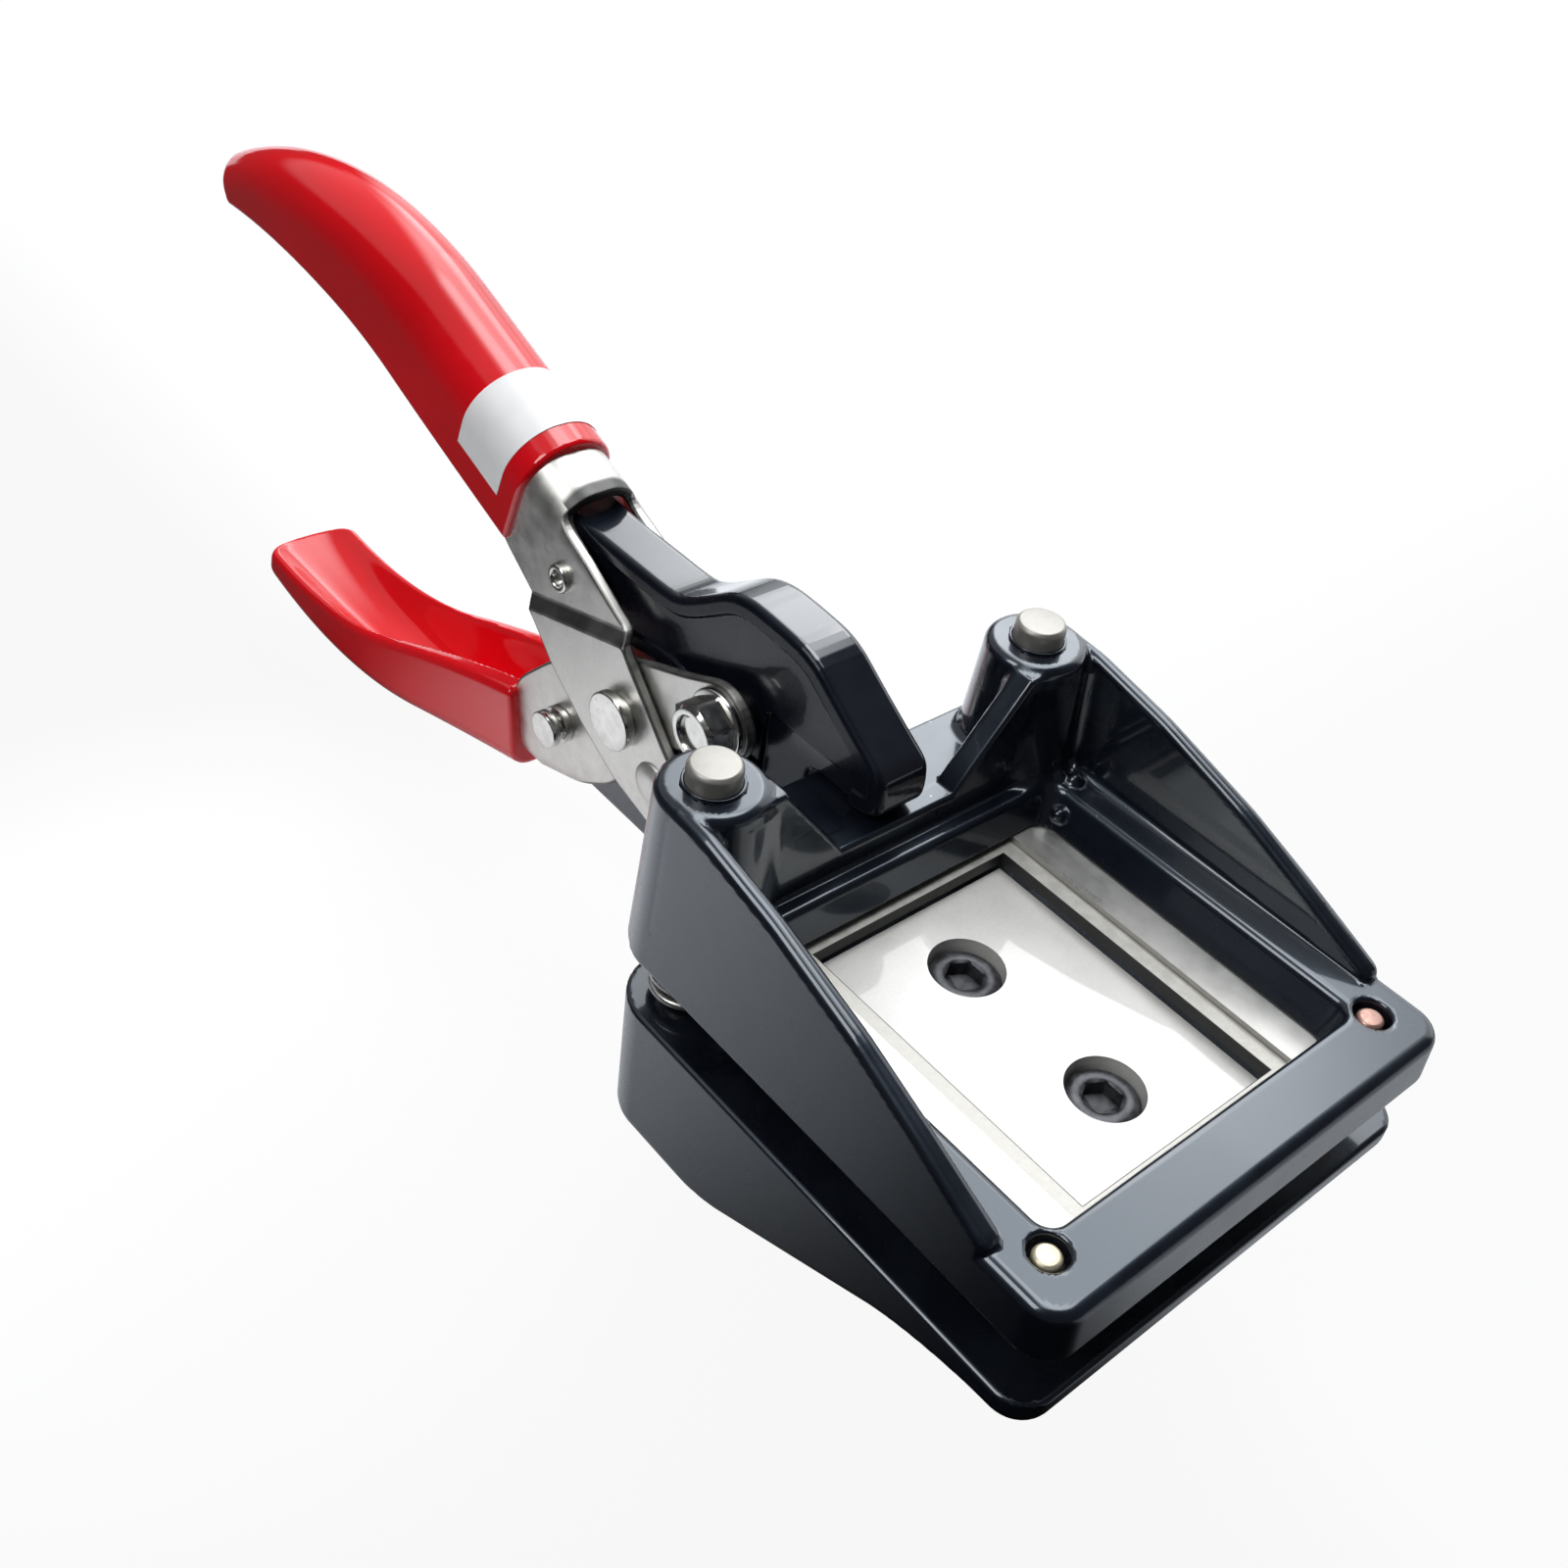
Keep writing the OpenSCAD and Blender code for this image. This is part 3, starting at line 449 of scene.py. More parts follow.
spring_foot, spring_top = -5.9, 14.4
spring_wire = finish("spring_wire", lambda place: {
    "Base Color": place.noise(1.2, 3).step(0.3, 0.7).mix((0.4, 0.4, 0.39, 1), (0.58, 0.575, 0.56, 1)),
    "Metallic": 1.0,
    "Roughness": place.noise(0.8, 3).step(0.3, 0.7, 0.28, 0.42),
})
for side, (x, y, _) in zip(("left", "right"), post_places):
    spring = coil("spring_" + side, (x, y))
    fit(spring, spring_wire, "base", "spring_wire", "return_spring_" + side)
    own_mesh(spring)

# Die frame: a zinc casting with a window for the die, a guide boss at each rear corner, a wing from each boss
# down to the front bar and a notched wall that the press arm pushes behind. Finished as the base is.


def frame_field(x, y, z):
    """Plan with tapered sides and round rear corners; slab, notched wall, ledge, bosses and wings are joined with
    fillets that fade where outer faces run flush, and trimmed to the plan. Then the window, the plate's recess, the
    bores and two holes are cut. Three drops of paint stand in the window's rear corner."""
    side, taper = np.abs(x), 0.0617 * (z - 1.7)
    r = np.where(y > 0, 7.4, 4.2)
    plan = meet(side - 31.4, np.where(y > 0, y - 36.8, -30.3 - y), r) + taper
    slab = meet(meet(meet(plan, z - 8.1, 1.3), 1.7 - z, 0.6), y - 33, 1.0)
    wall = outline(side, z, [(-9, 1.7), (24, 1.7), (24, 23.7), (18.2, 23.7), (8.6, 11.4), (-9, 11.4)])
    wall = meet(wall, np.abs(y - 25.85) - 1.65, 0.6)
    ledge = meet(meet(round_rect(x, y - 30.7, 24, 5.7, 1.2), z - 11.35, 0.7), 1.7 - z, 0.4)
    from_post = np.hypot(side - post_x, y - post_y)
    boss = meet(from_post - 7.4 + taper, np.abs(z - 13.05) - 11.35, 1.1)
    wing = outline(y, z, rounded([(-20.7, 3), (-20.7, 9.3), (-10.2, 13.9), (-0.7, 17.7), (12.5, 21.7),
                                  (23.5, 24.0), (29.4, 24.4), (29.4, 3)], 1.2))
    wing = meet(meet(plan, 28.2 - 0.02 * (z - 8) - side, 0.2), wing, 1.15)
    flush = np.clip(-plan / 2.5, 0.05, 1) * np.clip((24.4 - z) / 2.5, 0.4, 1)
    solid = join(slab, np.minimum(wall, ledge), 0.6 * flush)
    solid = join(solid, boss, 1.5 * flush)
    solid = join(solid, wing, (0.35 + 1.4 * np.clip((y + 14) / 34, 0, 1)) * flush)
    solid = np.maximum(solid, np.maximum(np.maximum(plan, 1.7 - z), z - 24.42))
    t = np.clip((z - 3.2) / 4.9, 0, 1)
    hole = round_rect(x, y - 0.35 * t + 0.55, 22.1 + 1.9 * t, 21.35 + 0.75 * t, 2.2)
    solid = cut(solid, hole, 0.7)
    for dx, dy, dz, drop in ((26.2, 20.6, 8.2, 1.0), (22.6, 19.0, 5.6, 0.9), (25.1, 22.2, 8.4, 0.8)):
        solid = join(solid, np.sqrt((x - dx) ** 2 + (y - dy) ** 2 + (z - dz) ** 2) - drop, 0.6)
    solid = cut(solid, meet(round_rect(x, y + 1.9, 29.05, 25.45, 0.5), z - 3.2, 0), 0.15)
    solid = cut(solid, meet(from_post - 5.2, z - spring_top, 0), 0.15)
    solid = cut(solid, meet(from_post - 4.42, z - 22.4, 0), 0.1)
    solid = cut(solid, from_post - 3.2, 0)
    return cut(solid, np.hypot(side - 25.4, y + 23.6) - 2.05, 0.45)


die_frame = skin("die_frame_body", frame_field, (-32.4, -31.3, 0.9), (32.4, 37.8, 25.2), 0.43)
fit(die_frame, black_enamel, "die_carriage", "black_enamel", "die_frame")

# Guide bushes: black sleeves pressed into the bosses from below; a thin collar stands up round each post.
bush = rounded([(3.05, 14.5), (4.4, 14.5), (4.4, 23.8), (3.4, 23.8), (3.4, 24.75),
                (3.05, 24.75), (3.05, 14.5)], 0.12, False, 4)
bushes = turned("guide_bush_sleeves", bush, post_places, sharp=50)
fit(bushes, black_enamel, "die_carriage", "black_enamel", "guide_bushes")

# Die plate and die ring: a ground steel plate with the die let into it. The ring's land is duller than the plate,
# and its edge shows the marks of the cutter. Their solids are right, so only the finishes are made here.


def plate_look(place):
    """Rolled and ground plate: long lines along the tool, brighter bands and a few dark specks."""
    lines = place.noise(0.6, 3, 0.6, (1.0, 0.04, 1.0))
    cloud = place.noise(6, 4, 0.6)
    speck = place.grains(3.1).step(0.05, 0.03)
    colour = cloud.step(0.3, 0.7).mix((0.37, 0.366, 0.352, 1), (0.46, 0.455, 0.437, 1))
    return {
        "Base Color": (speck * 0.5).mix(colour, (0.2, 0.19, 0.17, 1)),
        "Metallic": 0.75,
        "Roughness": cloud.step(0.3, 0.7, 0.26, 0.36) + lines.step(0.35, 0.65) * 0.06,
        "Normal": (lines + place.noise(0.4, 2) * 0.5).bump(0.006, 0.5),
    }


def die_look(place):
    """Die steel: matt grey-buff, blotched, with fine cross marks; near black on the wall of the opening."""
    cloud = place.noise(2.2, 5, 0.7)
    marks = place.noise(0.35, 2, 0.5, (1.0, 0.3, 1.0))
    colour = cloud.step(0.32, 0.68).mix((0.4, 0.391, 0.362, 1), (0.52, 0.51, 0.48, 1))
    mirrored = place.vector("ABSOLUTE")
    wall = mirrored.axis(0).step(0.01512, 0.01506) * mirrored.axis(1).step(0.02012, 0.02006)
    return {
        "Base Color": (wall * 0.97).mix(colour, (0.012, 0.012, 0.013, 1)),
        "Metallic": 0.5,
        "Roughness": cloud.step(0.3, 0.7, 0.42, 0.55),
        "Normal": (marks + cloud * 0.5).bump(0.01, 0.5),
    }


dress(finish("plate_steel", plate_look), "die_plate")
dress(finish("die_steel", die_look), "die_ring")

# Die screws: countersunk brass screws put in from below; the ends of the front two show in the frame's holes.
brass = finish("brass", lambda place: {
    "Base Color": place.axis(0).step(-0.02, 0.02).mix((0.55, 0.5, 0.36, 1), (0.4, 0.24, 0.2, 1)),
    "Metallic": 0.7,
    "Roughness": place.noise(0.7, 3).step(0.3, 0.7, 0.3, 0.5),
    "Normal": place.noise(0.4, 3).bump(0.02, 0.5),
})
screw = rounded([(0, 1.72), (2.8, 1.72), (2.8, 2.1), (1.5, 3.0), (1.5, 7.3), (1.2, 7.6), (0, 7.65)], 0.15, False, 3)
die_screws = turned("die_screw_set", screw, [
    (sign * x, y, 0) for sign in (-1, 1) for x, y in ((25.4, -23.6), (9, 28.6))])
fit(die_screws, brass, "die_carriage", "bright_hardware", "die_screws")

# Upper handle: one pressing of zinc-plated sheet steel. It is folded over a round back that ends in a ferrule in
# front of the grip, and its cheeks step outwards and run down to the base's tail.


def sheet_look(place):
    """Satin zinc plate: mottled light grey, with finger smudges, rolling lines and small scratches, dark where the
    sheet was sheared; painted shade darkens the step of the upper cheeks and the faces between the cheeks."""
    spangle = place.noise(3.4, 6, 0.68)
    cloud = place.noise(11, 3)
    scratch = place.noise(0.55, 3, 0.6, (1, 0.06, 1), (0.6, 0, 0)).step(0.64, 0.72)
    pit = place.grains(2.4).step(0.07, 0.03) * cloud.step(0.5, 0.6)
    colour = spangle.step(0.3, 0.7).mix((0.58, 0.575, 0.547, 1), (0.75, 0.745, 0.712, 1))
    colour = (cloud.step(0.35, 0.65) * 0.3).mix(colour, (0.77, 0.77, 0.738, 1))
    colour = (scratch * 0.3).mix(colour, (0.8, 0.8, 0.78, 1))
    edge = place.node("ShaderNodeAttribute", {"attribute_name": "edge"}, {}, 2)
    y, z = place.axis(1), place.axis(2)
    # Painted shade: dark faces between the cheeks and a dark band in the step of the upper cheeks, where shadow falls.
    inner_face_shade = place.vector("ABSOLUTE").axis(0).step(0.00495, 0.00485) * y.step(0.0845, 0.0835)
    below = 0.956 * (0.0066 - z) + 0.2926 * (0.0887 - y)
    fold_shade = below.step(0.0, 0.0003) * below.step(0.0018, 0.0014)
    colour = (fold_shade * 0.85).mix(colour, (0.07, 0.07, 0.075, 1))
    colour = (inner_face_shade * 0.9).mix(colour, (0.03, 0.03, 0.032, 1))
    colour = (edge.step(0.06, 0.2) * 0.85).mix(colour, (0.06, 0.06, 0.058, 1))
    return {
        "Base Color": (pit * 0.45).mix(colour, (0.26, 0.25, 0.23, 1)),
        "Metallic": 1.0,
        "Roughness": spangle.step(0.3, 0.7, 0.34, 0.46) + cloud.step(0.4, 0.7) * 0.06,
        "Normal": (spangle + scratch * 0.4 + place.noise(0.3, 2) * 0.3).bump(0.012, 0.5),
    }


zinc_sheet = finish("zinc_sheet", sheet_look)


def folded(x, y, z, start, out, half, shift, r, under=1.3):
    """Sheet of 1.5 mm folded over a back with corners of radius r: half the sheet on either side of the surface that
    lies 0.75 mm inside a round-backed channel. The channel follows a straight line, under millimetres below the
    grip's coat, and its cheeks are moved outwards by shift."""
    depth = -((y - start[0]) * out[0] + (z - start[1]) * out[1]) - under
    half_sheet = 0.75
    return np.abs(meet(np.abs(x) - shift - half, -depth, r) + half_sheet) - half_sheet


upper_start, upper_slope = (88.3, 26.8), 19.2
upper_side = rounded([(80.9, 26.4), (101, 33.4), (101, 17.5), (94.6, 10.9), (88.0, 6.5), (85.3, 4.2), (80.9, -0.2),
                      (73.6, -5.2), (66.2, -9.1), (58.9, -11.0), (51.5, -13.4), (47.2, -12.4), (45.5, -9.2),
                      (46.8, -5.8), (56.5, 1.9), (60.6, 6.0), (65.1, 10.4), (66.8, 12.5), (69.9, 13.9),
                      (76.9, 17.4), (81.4, 19.3), (82.9, 20.4), (82.5, 21.6)], 1.3)


def upper_field(x, y, z):
    """Folded sheet cut to the handle's side view. Below a sloping line the cheeks step out by 1.55 mm."""
    below = -0.2926 * (y - 88.7) - 0.956 * (z - 6.6)
    shift = 1.55 * np.clip(below / 1.7, 0, 1)
    sheet = folded(x, y, z, upper_start, (-0.3289, 0.9444), 6.3, shift, 5.4)
    return meet(sheet, outline(y, z, upper_side), 0.3)


upper_handle = skin("upper_handle_sheet", upper_field, (-8.6, 44.6, -14.2), (8.6, 101.8, 33), 0.27)
fit(upper_handle, zinc_sheet, "base", "zinc_sheet", "upper_handle")

# Upper grip: red vinyl, dipped over the handle in several coats, so it is glossy, slightly wavy and round at its
# mouth and tip. It covers the handle's channel, open below and filling up towards the tip.


def course(y, z, start, slope, run, bend_r, back):
    """Place along a handle and depth under its back, whose line runs straight from start, then turns on an arc:
    lengths along and square to the line, or the angle about the arc's centre times its radius, and the radius
    less the distance to that centre."""
    c, s = np.cos(np.radians(slope)), np.sin(np.radians(slope))
    ahead = (y - start[0]) * c + (z - start[1]) * s - run
    high = back * ((z - start[1]) * c - (y - start[0]) * s)
    bent = ahead > 0
    return (run + np.where(bent, bend_r * np.arctan2(ahead, high + bend_r), ahead),
            np.where(bent, bend_r - np.hypot(ahead, high + bend_r), -high))


def grip_field(x, s, depth, length, tall, low, power, half, narrow, nose, lean, fill, crown, rim):
    """Round-backed bar along the course that narrows over its last 45 %, falls in height by a power of the way,
    has round corners in plan at its tip and ends in a round nose. The back's radius is crown times the half width,
    at most 0.8 of the height. The open side is scooped out, deepest in the middle by a double fourth power of the
    way across. The scoop widens by rim over the first 60 % of the way and fills up towards the tip. The mouth is
    cut square, or leans back by lean millimetres."""
    corner = 4.0
    way = np.clip(s / length, 0, 1)
    side = np.abs(x)
    w = half * (1 - (1 - narrow) * np.clip((way - 0.55) / 0.45, 0, 1) ** 2)
    w = w - corner + np.sqrt(corner ** 2 - np.clip(s - length + corner, 0, corner - 0.05) ** 2)
    h = tall - (tall - low) * way ** power
    solid = meet(meet(side - w, -depth, np.minimum(crown * w, 0.8 * h)), s - length, nose)
    solid = meet(solid, lean * (1 - depth / tall) - s, 0.75)
    hollow = np.maximum(w - 3.4 + rim * np.clip(way / 0.6, 0, 1), 1.0)
    q = np.clip(side / hollow, 0, 1)
    sink = (h - 3.1) * (1 - fill * way ** 2)
    steep = 8 * sink * q ** 3 * (1 - q ** 4) / hollow
    return meet(solid, (depth - h + sink * (1 - q ** 4) ** 2) / np.sqrt(1 + steep ** 2), 1.3)


def vinyl_look(place):
    """Dipped vinyl: deep red, glossy, slow waves from the dip, faint flow marks and dull finger marks."""
    wave = place.noise(16, 1, 0.4, (1, 0.5, 1))
    fine = place.noise(2.6, 3, 0.5)
    dull = place.noise(9, 4, 0.6).step(0.52, 0.72)
    colour = wave.step(0.3, 0.7).mix((0.65, 0.0012, 0.006, 1), (0.75, 0.0022, 0.009, 1))
    return {
        "Base Color": (dull * 0.15).mix(colour, (0.58, 0.008, 0.014, 1)),
        "Roughness": dull * 0.05 + fine.step(0.3, 0.7, 0.06, 0.1),
        "IOR": 1.62,
        "Normal": (wave * 2.5 + fine * 0.15).bump(0.1, 0.5),
    }


red_vinyl = finish("red_vinyl", vinyl_look)


def upper_grip_field(x, y, z):
    """The grip's bar along the upper handle's course."""
    s, depth = course(y, z, upper_start, upper_slope, run=30.2, bend_r=77, back=1)
    return grip_field(x, s, depth - 0.06, length=93.9, tall=16.2, low=6.6, power=3.0, half=7.25, narrow=0.7,
                      nose=3.8, lean=0, fill=0.8, crown=0.965, rim=1.5)


upper_grip = skin("upper_grip_coat", upper_grip_field, (-8, 82, 9), (8, 182.5, 42), 0.42)
fit(upper_grip, red_vinyl, "base", "red_vinyl", "upper_grip")

# Paper band: a bare white sticker laid over the grip's back behind its mouth, cut square, lying flat on the vinyl.


def laid_sheet(name, first, last):
    """Thin sheet over the grip from first to last along it: straight down one side, round the back on a half
    circle and down the other side, lifted by 0.02 mm below and 0.12 mm on top, with walls round its rim."""
    turn = np.radians(np.linspace(0, 180, 49))
    near, off = np.ones(9), np.ones(7)
    back = np.stack([6.95 * np.cos(turn) + np.where(turn < np.pi / 2, 0.25, -0.25), 7.01 - 6.95 * np.sin(turn)], -1)
    over = np.concatenate([np.stack([7.2 * near, np.linspace(12.4, 7.2, 9)], -1), back,
                           np.stack([-7.2 * off, np.linspace(7.2, 10.7, 7)], -1)])
    outward = np.stack([np.concatenate([near, np.cos(turn), -off]),
                        np.concatenate([0 * near, -np.sin(turn), 0 * off])], -1)
    along = np.linspace(first, last, 24)[:, None]
    c, s = np.cos(np.radians(upper_slope)), np.sin(np.radians(upper_slope))
    sides = []
    for lift in (0.12, 0.02):
        across, depth = (over + lift * outward).T
        sides.append(np.stack([across + 0 * along, upper_start[0] + along * c + depth * s,
                               upper_start[1] + along * s - depth * c], -1).reshape(-1, 3))
    number = np.arange(len(along) * len(over)).reshape(len(along), len(over))
    quads = np.stack([number[:-1, :-1], number[:-1, 1:], number[1:, 1:], number[1:, :-1]], -1).reshape(-1, 4)
    rim = np.concatenate([number[0], number[1:, -1], number[-1, -2::-1], number[-2:0:-1, 0]])
    walls = np.stack([rim, np.roll(rim, -1), np.roll(rim, -1) + number.size, rim + number.size], -1)
    piece = put(name, np.concatenate(sides), np.concatenate([quads, quads[:, ::-1] + number.size, walls]))
    weld(piece, 50)
    return piece


band = laid_sheet("paper_band", 3.6, 13.5)
paper_white = finish("paper_white", lambda place: {
    "Base Color": place.noise(8, 3).step(0.3, 0.7).mix((0.9, 0.9, 0.915, 1), (0.96, 0.96, 0.965, 1)),
    "Roughness": place.noise(1.0, 3).step(0.3, 0.7, 0.4, 0.5),
    "Normal": (place.noise(0.25, 3) * 0.4 + place.noise(6, 1)).bump(0.02, 0.4),
})
fit(band, paper_white, "base", "red_vinyl")

# Main pivot: a headed pin of bright zinc-plated steel with a groove under its outer disc, through all cheeks.


def hardware_look(place):
    """Bright zinc plate: shiny, slightly yellow-grey, with small dents and dull spots."""
    cloud = place.noise(1.5, 4, 0.6)
    dent = place.noise(0.8, 3, 0.6).step(0.62, 0.72)
    colour = cloud.step(0.3, 0.7).mix((0.55, 0.545, 0.52, 1), (0.7, 0.695, 0.67, 1))
    return {
        "Base Color": (dent * 0.3).mix(colour, (0.4, 0.39, 0.36, 1)),
        "Metallic": 1.0,
        "Roughness": cloud.step(0.3, 0.7, 0.12, 0.2) + dent * 0.1,
        "Normal": (cloud * 0.6 + dent * 0.5).bump(0.006, 0.3),
    }


bright_zinc = finish("bright_zinc", hardware_look)
pivot = rounded([(0, 10.05), (2.7, 10.05), (3, 9.75), (3, 8.9), (2.5, 8.9), (2.5, 7.95), (3, 7.95), (3, -7.87),
                 (3.3, -7.87), (3.3, -8.6), (4.0, -8.6), (4.0, -9.75), (3.8, -9.85), (0, -9.87)], 0.1, False, 3)
main_pivot = turned("main_pivot_pin", pivot, [(0, 65.7, 1.5)], axis=0, sharp=40)
fit(main_pivot, bright_zinc, "base", "bright_hardware", "main_pivot")
dress(black_oxide, "pivot_clip")

# Tail rivets: two steel rivets through the cheeks and the tail, their heads set to low domes.
rivet = [(0, -8.85), (1.2, -8.8), (2.4, -8.55), (3.1, -8.15), (3.2, -7.87), (2, -7.87), (2, 7.87), (3.2, 7.87),
         (3.1, 8.15), (2.4, 8.55), (1.2, 8.8), (0, 8.85)]
rivets = turned("tail_rivet_set", rivet, [(0, 58.3, -4.5), (0, 50, -9)], axis=0)
fit(rivets, zinc_sheet, "base", "zinc_sheet", "tail_rivets")

# Arm pin: a hollow-ended pin of bright steel, pressed through both cheeks, on which the press arm turns.
pin = rounded([(0, -4.4), (1.15, -4.4), (1.15, -6.9), (1.35, -7.2), (1.8, -7.2), (2, -6.95), (2, 6.95), (1.8, 7.2),
               (1.35, 7.2), (1.15, 6.9), (1.15, 4.4), (0, 4.4)], 0.1, False, 3)
arm_pin = turned("arm_roll_pin", pin, [(0, 81.5, 12.8)], axis=0, sharp=40)
fit(arm_pin, bright_zinc, "base", "bright_hardware", "arm_pin")
dress(zinc_sheet, "arm_spacers", "drive_roller")

# Press arm: a zinc casting in black enamel, humped over the drive bolt, with a shallow panel in each side.
arm_side = rounded([(86.7, 20.7), (83.6, 20.4), (80.4, 20.1), (63.4, 20.1), (60.8, 21.0), (56.9, 23.6), (53.2, 26.3),
                    (49.6, 27.4), (44.4, 27.3), (38.4, 26.8), (33.2, 23.4), (27.8, 20.1), (25.0, 18.5), (24.4, 16.6),
                    (24.4, 13.3), (26.4, 12.0), (28, 11.7), (32, 11.7), (37.3, 11.7), (37.5, 8.8), (39.2, 6.0),
                    (42.6, 4.4), (51.6, 4.6), (60, 9.2), (65.6, 8.7), (70.5, 7.6), (78.5, 6.6), (85.5, 8.4),
                    (87.4, 12.8), (87.4, 18.4)], 3.4, steps=6)


def arm_field(x, y, z):
    """Side view between two flat faces; a shallow panel with a rim, and a deeper pocket in front of the bolt, are
    let into each side."""
    form = outline(y, z, arm_side)
    side = np.abs(x)
    solid = meet(form, side - 3.7, 1.0)
    panel = meet(form + 2.5, 3.2 - side, 0.3)
    pocket = meet(round_rect(y - 37, z - 6.9, 7.6, 8.0, 1.0), 2.5 - side, 0.3)
    return cut(cut(solid, panel, 0.3), pocket, 0.4)


def arm_look(place):
    """The same enamel, with less gloss low on the arm and on its sides, and with the round marks of two ejector
    pins in each side."""
    flat = place.vector("MULTIPLY", (0, 1, 1))
    rings = [flat.vector("DISTANCE", centre, 1) for centre in ((0, 0.0534, 0.0169), (0, 0.0368, 0.0201))]
    marks = sum(ring.step(0.0015, 0.00165) - ring.step(0.00175, 0.0021) * 0.6 for ring in rings)
    cheek = place.vector("ABSOLUTE").axis(0).step(0.0029, 0.0033)
    return {
        **enamel_look(place, marks * 1.6),
        "IOR": 1.25,
        "Coat IOR": 1.75,
        "Coat Weight": place.axis(2).step(0.011, 0.02, 0.1, 1.0) * (1.0 - cheek * 0.9),
    }


press_arm = skin("press_arm_body", arm_field, (-4.6, 23.6, 3.6), (4.6, 88.2, 28.4), 0.25)
arm_enamel = finish("arm_enamel", arm_look)
fit(press_arm, arm_enamel, "arm", "black_enamel", "press_arm")

# Lower handle: a second pressing of the same sheet, folded round its underside. Its cheeks run inside the upper
# ones, past the main pivot, to the drive bolt.
lower_start = (86.8, -22.4)
lower_side = rounded([(101, -17.0), (92.6, -13.2), (90.6, -8.8), (83.9, -2.0), (72, 6.9), (63.3, 10.7),
                      (55.8, 13.7), (50.6, 16.2), (48.2, 16.6), (45.2, 15.2), (43.6, 12.4), (43.9, 9.6),
                      (45.6, 7.3), (59, 0.5), (65, -8.0), (69, -13.0), (75, -17.2), (82.6, -22.0),
                      (86.4, -23.2), (87.5, -24.4), (101, -29.3)], 1.8)


def lower_field(x, y, z):
    """Folded sheet, its back below and dropping in front of the grip, cut to the handle's side view."""
    under = 1.3 - 1.5 * np.clip((90.5 - y) / 5, 0, 1)
    sheet = folded(x, y, z, lower_start, (-0.3256, -0.9455), 6.25, 0, 2.6, under)
    return meet(sheet, outline(y, z, lower_side), 0.3)


lower_handle = skin("lower_handle_sheet", lower_field, (-7, 42.8, -30), (7, 101.8, 17.4), 0.27)
fit(lower_handle, zinc_sheet, "squeeze_handle", "zinc_sheet", "lower_handle")

# Lower grip: the same red vinyl dipped over the lower handle, a trough that opens upwards.


def lower_grip_field(x, y, z):
    """The grip's bar along the lower handle's course, 1.1 mm thicker below at its mouth."""
    s, depth = course(y, z, lower_start, -19, run=33, bend_r=80, back=-1)
    depth = depth - 0.06 + 1.1 * np.clip(1 - s / 42, 0, 1) ** 2
    return grip_field(x, s, depth, length=83.4, tall=13.4, low=5.7, power=1.5, half=7.9, narrow=1.0,
                      nose=4.6, lean=3.0, fill=0.6, crown=0.42, rim=2.7)


lower_grip = skin("lower_grip_coat", lower_grip_field, (-8.2, 83, -39), (8.2, 169.5, -8), 0.42)
fit(lower_grip, red_vinyl, "squeeze_handle", "red_vinyl", "lower_grip")

# Drive bolt: a zinc-plated hexagon bolt with a hollow in its head, a washer under the head and the nut, and a nut.
bolt_place = (0, 48.8, 11.4)
bolt = [(0, -10.1), (2.0, -10.1), (2.3, -10.3), (2.45, -10.66), (2.6, -10.79), (3.2, -10.79), (3.35, -10.74),
        (4.16, -10.3, 3.6), (4.16, -7.45, 3.6), (4.0, -7.29, 3.6), (2.5, -7.29), (2.5, 11.6), (2.2, 11.89), (0, 11.89)]
drive_bolt = turned("drive_bolt_head", bolt, [bolt_place], axis=0, sharp=28)
fit(drive_bolt, bright_zinc, "squeeze_handle", "bright_hardware", "drive_bolt")
nut = [(2.52, 7.29), (4.0, 7.29, 4), (4.62, 7.6, 4), (4.62, 10.95, 4), (4.0, 11.29, 4), (3.2, 11.29), (2.6, 11.0),
       (2.52, 10.8), (2.52, 7.29)]
drive_nut = turned("drive_nut_hex", nut, [bolt_place], axis=0, sharp=28)
fit(drive_nut, bright_zinc, "squeeze_handle", "bright_hardware", "drive_nut")
washer = rounded([(2.52, 6.27), (4.6, 6.27), (4.6, 7.25), (2.52, 7.25), (2.52, 6.27)], 0.25, False, 3)
washers = turned("drive_washer_pair", washer, [bolt_place, (-13.52, *bolt_place[1:])], axis=0)
fit(washers, bright_zinc, "squeeze_handle", "zinc_sheet", "drive_washers")

# Spool pin: a turned cross pin with two discs and a groove at each end.
half_spool = [(1.75, 6.27), (2.65, 6.27), (2.65, 7.35), (1.75, 7.35), (1.75, 8.15), (2.65, 8.15), (2.65, 9.4),
              (2.3, 9.47), (0, 9.4)]
spool = rounded([(r, -h) for r, h in half_spool[::-1]] + half_spool, 0.15, False, 3)
spool_pin = turned("spool_pin_turned", spool, [(0, 80.2, -9.9)], axis=0, sharp=40)
fit(spool_pin, bright_zinc, "squeeze_handle", "bright_hardware", "spool_pin")

# Studio: a pale floor that keeps a soft shadow, with painted shade and a painted pool of light in the colour it
# throws back, a surround with bright patches behind, above and to the right of the tool, two soft boxes and a sheet
# of paper whose reflection lies on the punch. The camera stands where the photograph was taken.
scene = bpy.context.scene
scene.view_settings.view_transform = "Standard"
floor = put("floor", np.array([(-3000, -3000, -44), (3000, -3000, -44), (3000, 3000, -44), (-3000, 3000, -44)]),
            np.array([[0, 1, 2, 3]]))
floor_paint = bpy.data.materials.new("floor_paper")
tree = blank(floor_paint)
seen = Paint(tree, tree.nodes.new("ShaderNodeLightPath").outputs["Is Camera Ray"])
glow = seen.node("ShaderNodeEmission", {}, {"Color": (1, 1, 1, 1), "Strength": 1.0})
spot = seen.node("ShaderNodeTexCoord", {}, {}, 3)
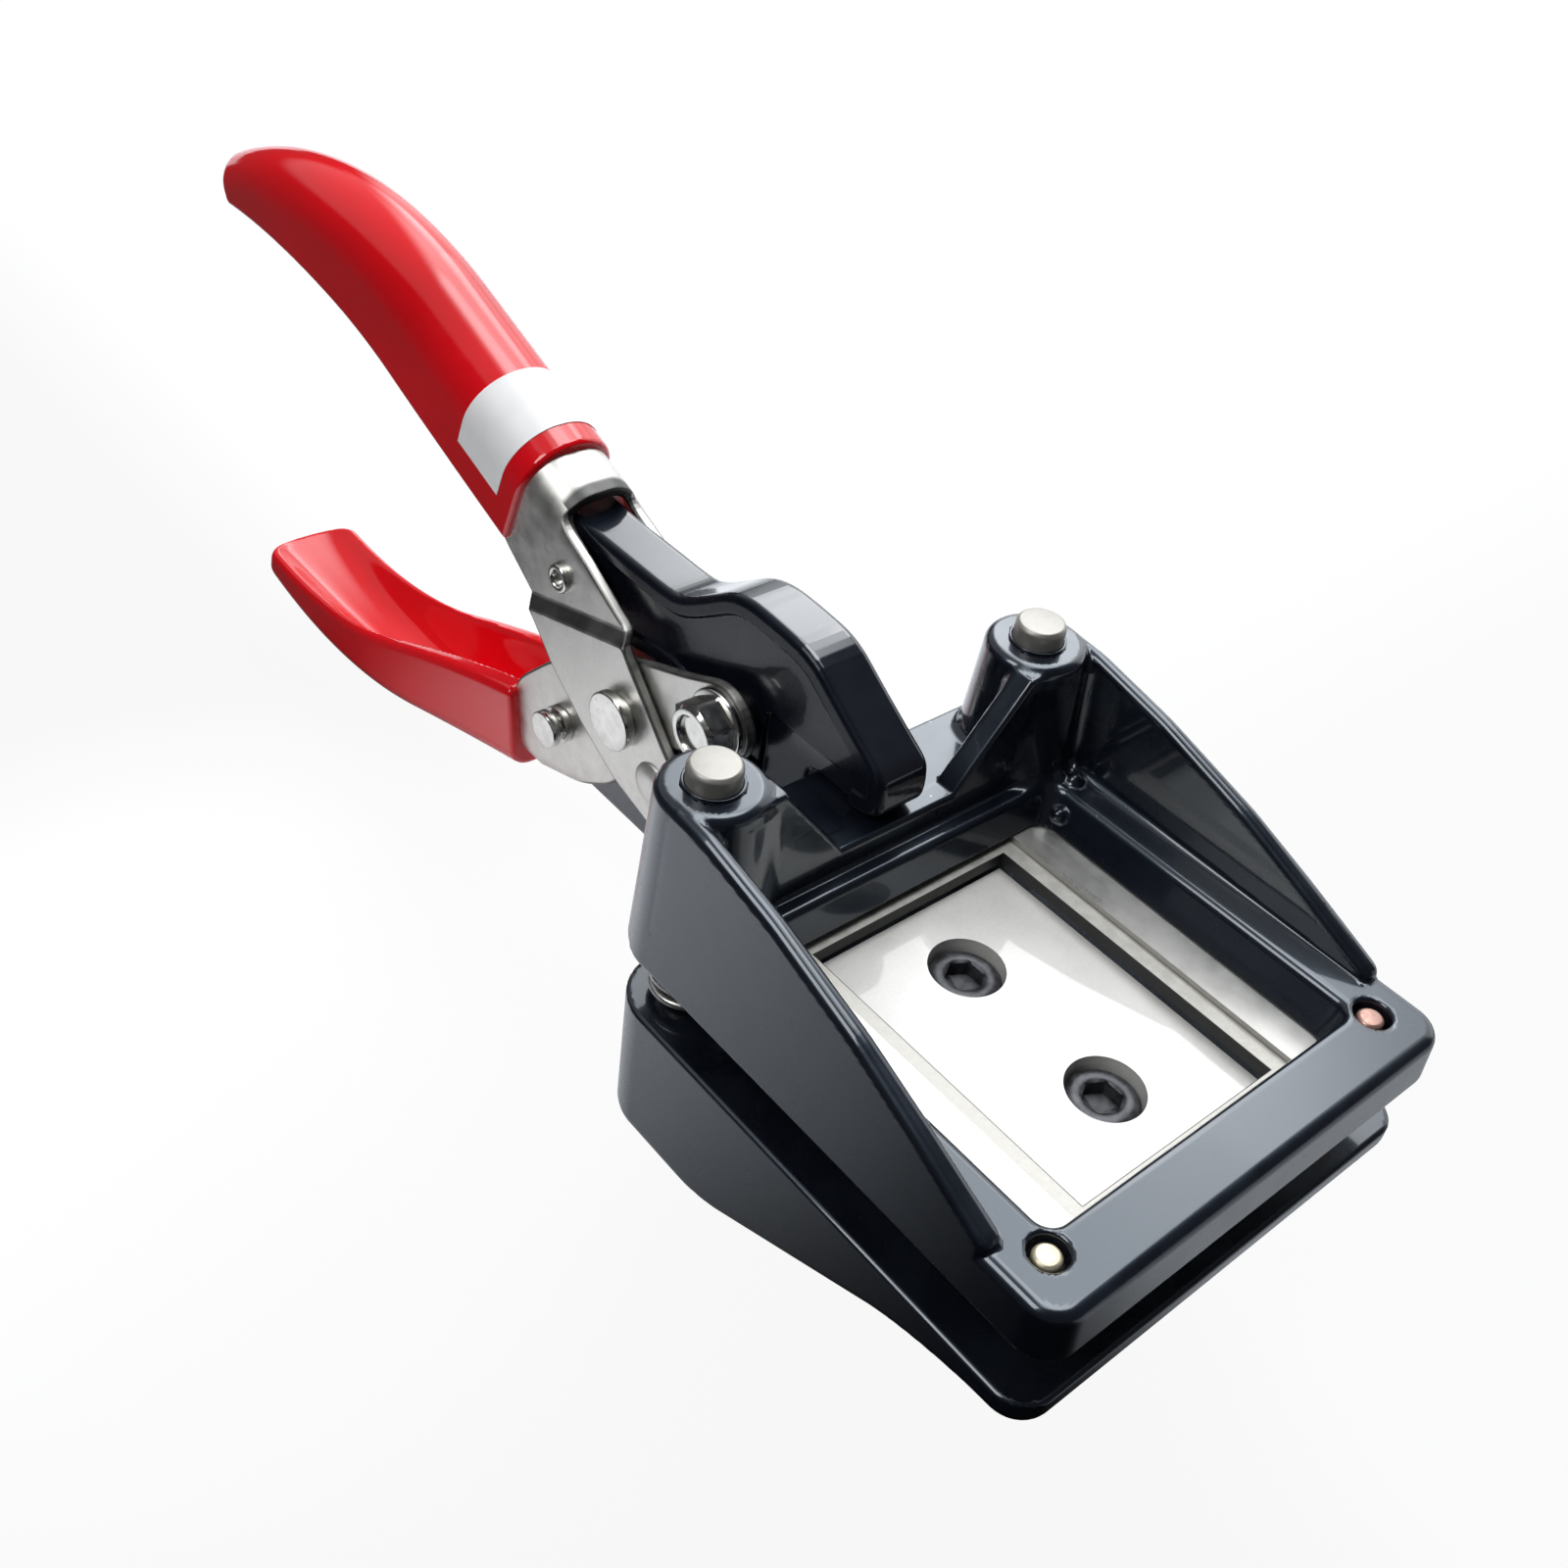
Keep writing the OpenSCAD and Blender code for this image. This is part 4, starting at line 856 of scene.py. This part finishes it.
# Painted light on the floor for the light it throws back: a bright pool left of the tool, painted shade in front of it
# and further out; the camera sees the floor almost white.
far = spot.vector("DISTANCE", (-0.055, 0.072, -0.044), 1)
ahead, across = spot.axis(1), spot.axis(0)
painted_front_shade = ahead.sum("MAXIMUM", ahead.step(-0.02, 0.11, 0.09), across.step(-0.02, 0.03, 0.0, 0.42))
painted_floor_light = painted_front_shade * far.sum("MAXIMUM", far.step(0.09, 0.045, 0.06), across.step(-0.02, 0.03))
pale = seen.node("ShaderNodeBsdfDiffuse", {}, {"Color": painted_floor_light.mix((0, 0, 0, 1), (0.95, 0.97, 1.0, 1))})
show(seen.node("ShaderNodeMixShader", {}, {0: seen * 0.93, 1: pale, 2: glow}))
floor.data.materials.append(floor_paint)

scene.world = bpy.data.worlds.new("surround")
tree = blank(scene.world)
way = Paint(tree, tree.nodes.new("ShaderNodeTexCoord").outputs["Generated"])
seen = Paint(tree, tree.nodes.new("ShaderNodeLightPath").outputs["Is Camera Ray"])
behind, right_hand, to_right, above = (way.vector("DOT_PRODUCT", aim, 1) for aim in (
    (0.1, 0.55, 0.83), (0.94, 0.28, 0.19), (0.7, -0.7, 0), (0.3, 0.1, 0.95)))
light = (0.06 + behind.step(0.72, 0.8) * to_right.step(-0.26, -0.02, 0.12, 1.0) * 3.6
         + above.step(0.95, 0.985) * 3.0 + right_hand.step(0.74, 0.84) * 1.3)
white = way.node("ShaderNodeBackground", {}, {"Color": (1, 1, 1, 1), "Strength": 1.0})
soft = way.node("ShaderNodeBackground", {}, {"Color": (0.97, 0.985, 1, 1), "Strength": light})
show(way.node("ShaderNodeMixShader", {}, {0: seen, 1: soft, 2: white}), "ShaderNodeOutputWorld")

for name, place, aim, wide, tall, shine in (
        ("box_left", (-0.42, 0.1, 0.5), (0, 0.05, 0), 0.3, 0.3, 6.2),
        ("box_right", (0.6, 0.3, 0.45), (0, 0.05, 0), 0.5, 0.4, 0.7)):
    lamp = bpy.data.lights.new(name, "AREA")
    lamp.shape, lamp.size, lamp.size_y = "RECTANGLE", wide, tall
    lamp.energy = shine * wide * tall * np.pi
    holder = bpy.data.objects.new(name, lamp)
    holder.location = place
    holder.rotation_euler = (Vector(aim) - Vector(place)).to_track_quat("-Z", "Y").to_euler()
    scene.collection.objects.link(holder)

paper = put("paper_light", np.array([(287.8, 240.0, 344.0), (335.5, 171.7, 342.2), (311.5, 113.6, 368.6),
                                     (265.7, 191.5, 370.1)]), np.array([[0, 1, 2, 3]]))
paper_paint = bpy.data.materials.new("lit_paper")
tree = blank(paper_paint)
lit = tree.nodes.new("ShaderNodeEmission")
lit.inputs["Strength"].default_value = 6.5
show(Paint(tree, lit.outputs[0]))
paper.data.materials.append(paper_paint)

camera = bpy.data.objects.new("camera", bpy.data.cameras.new("camera"))
camera.data.sensor_width, camera.data.lens, camera.data.clip_start = 36, 39.105, 0.005
azimuth, elevation, roll = np.radians([-45.6345, 39.7949, 8.7832])
look = np.array([np.sin(-azimuth) * np.cos(elevation), np.cos(azimuth) * np.cos(elevation), -np.sin(elevation)])
right = np.cross(look, (0, 0, 1)) / np.linalg.norm(np.cross(look, (0, 0, 1)))
top = np.cross(right, look)
right, top = np.cos(roll) * right + np.sin(roll) * top, np.cos(roll) * top - np.sin(roll) * right
stand = (-0.11283, -0.06732, 0.13476)
turned_axes = np.stack([right, top, -look], 1)
camera.matrix_world = Matrix([(*row, offset) for row, offset in zip(turned_axes, stand)] + [(0, 0, 0, 1)])
scene.collection.objects.link(camera)
scene.camera = camera
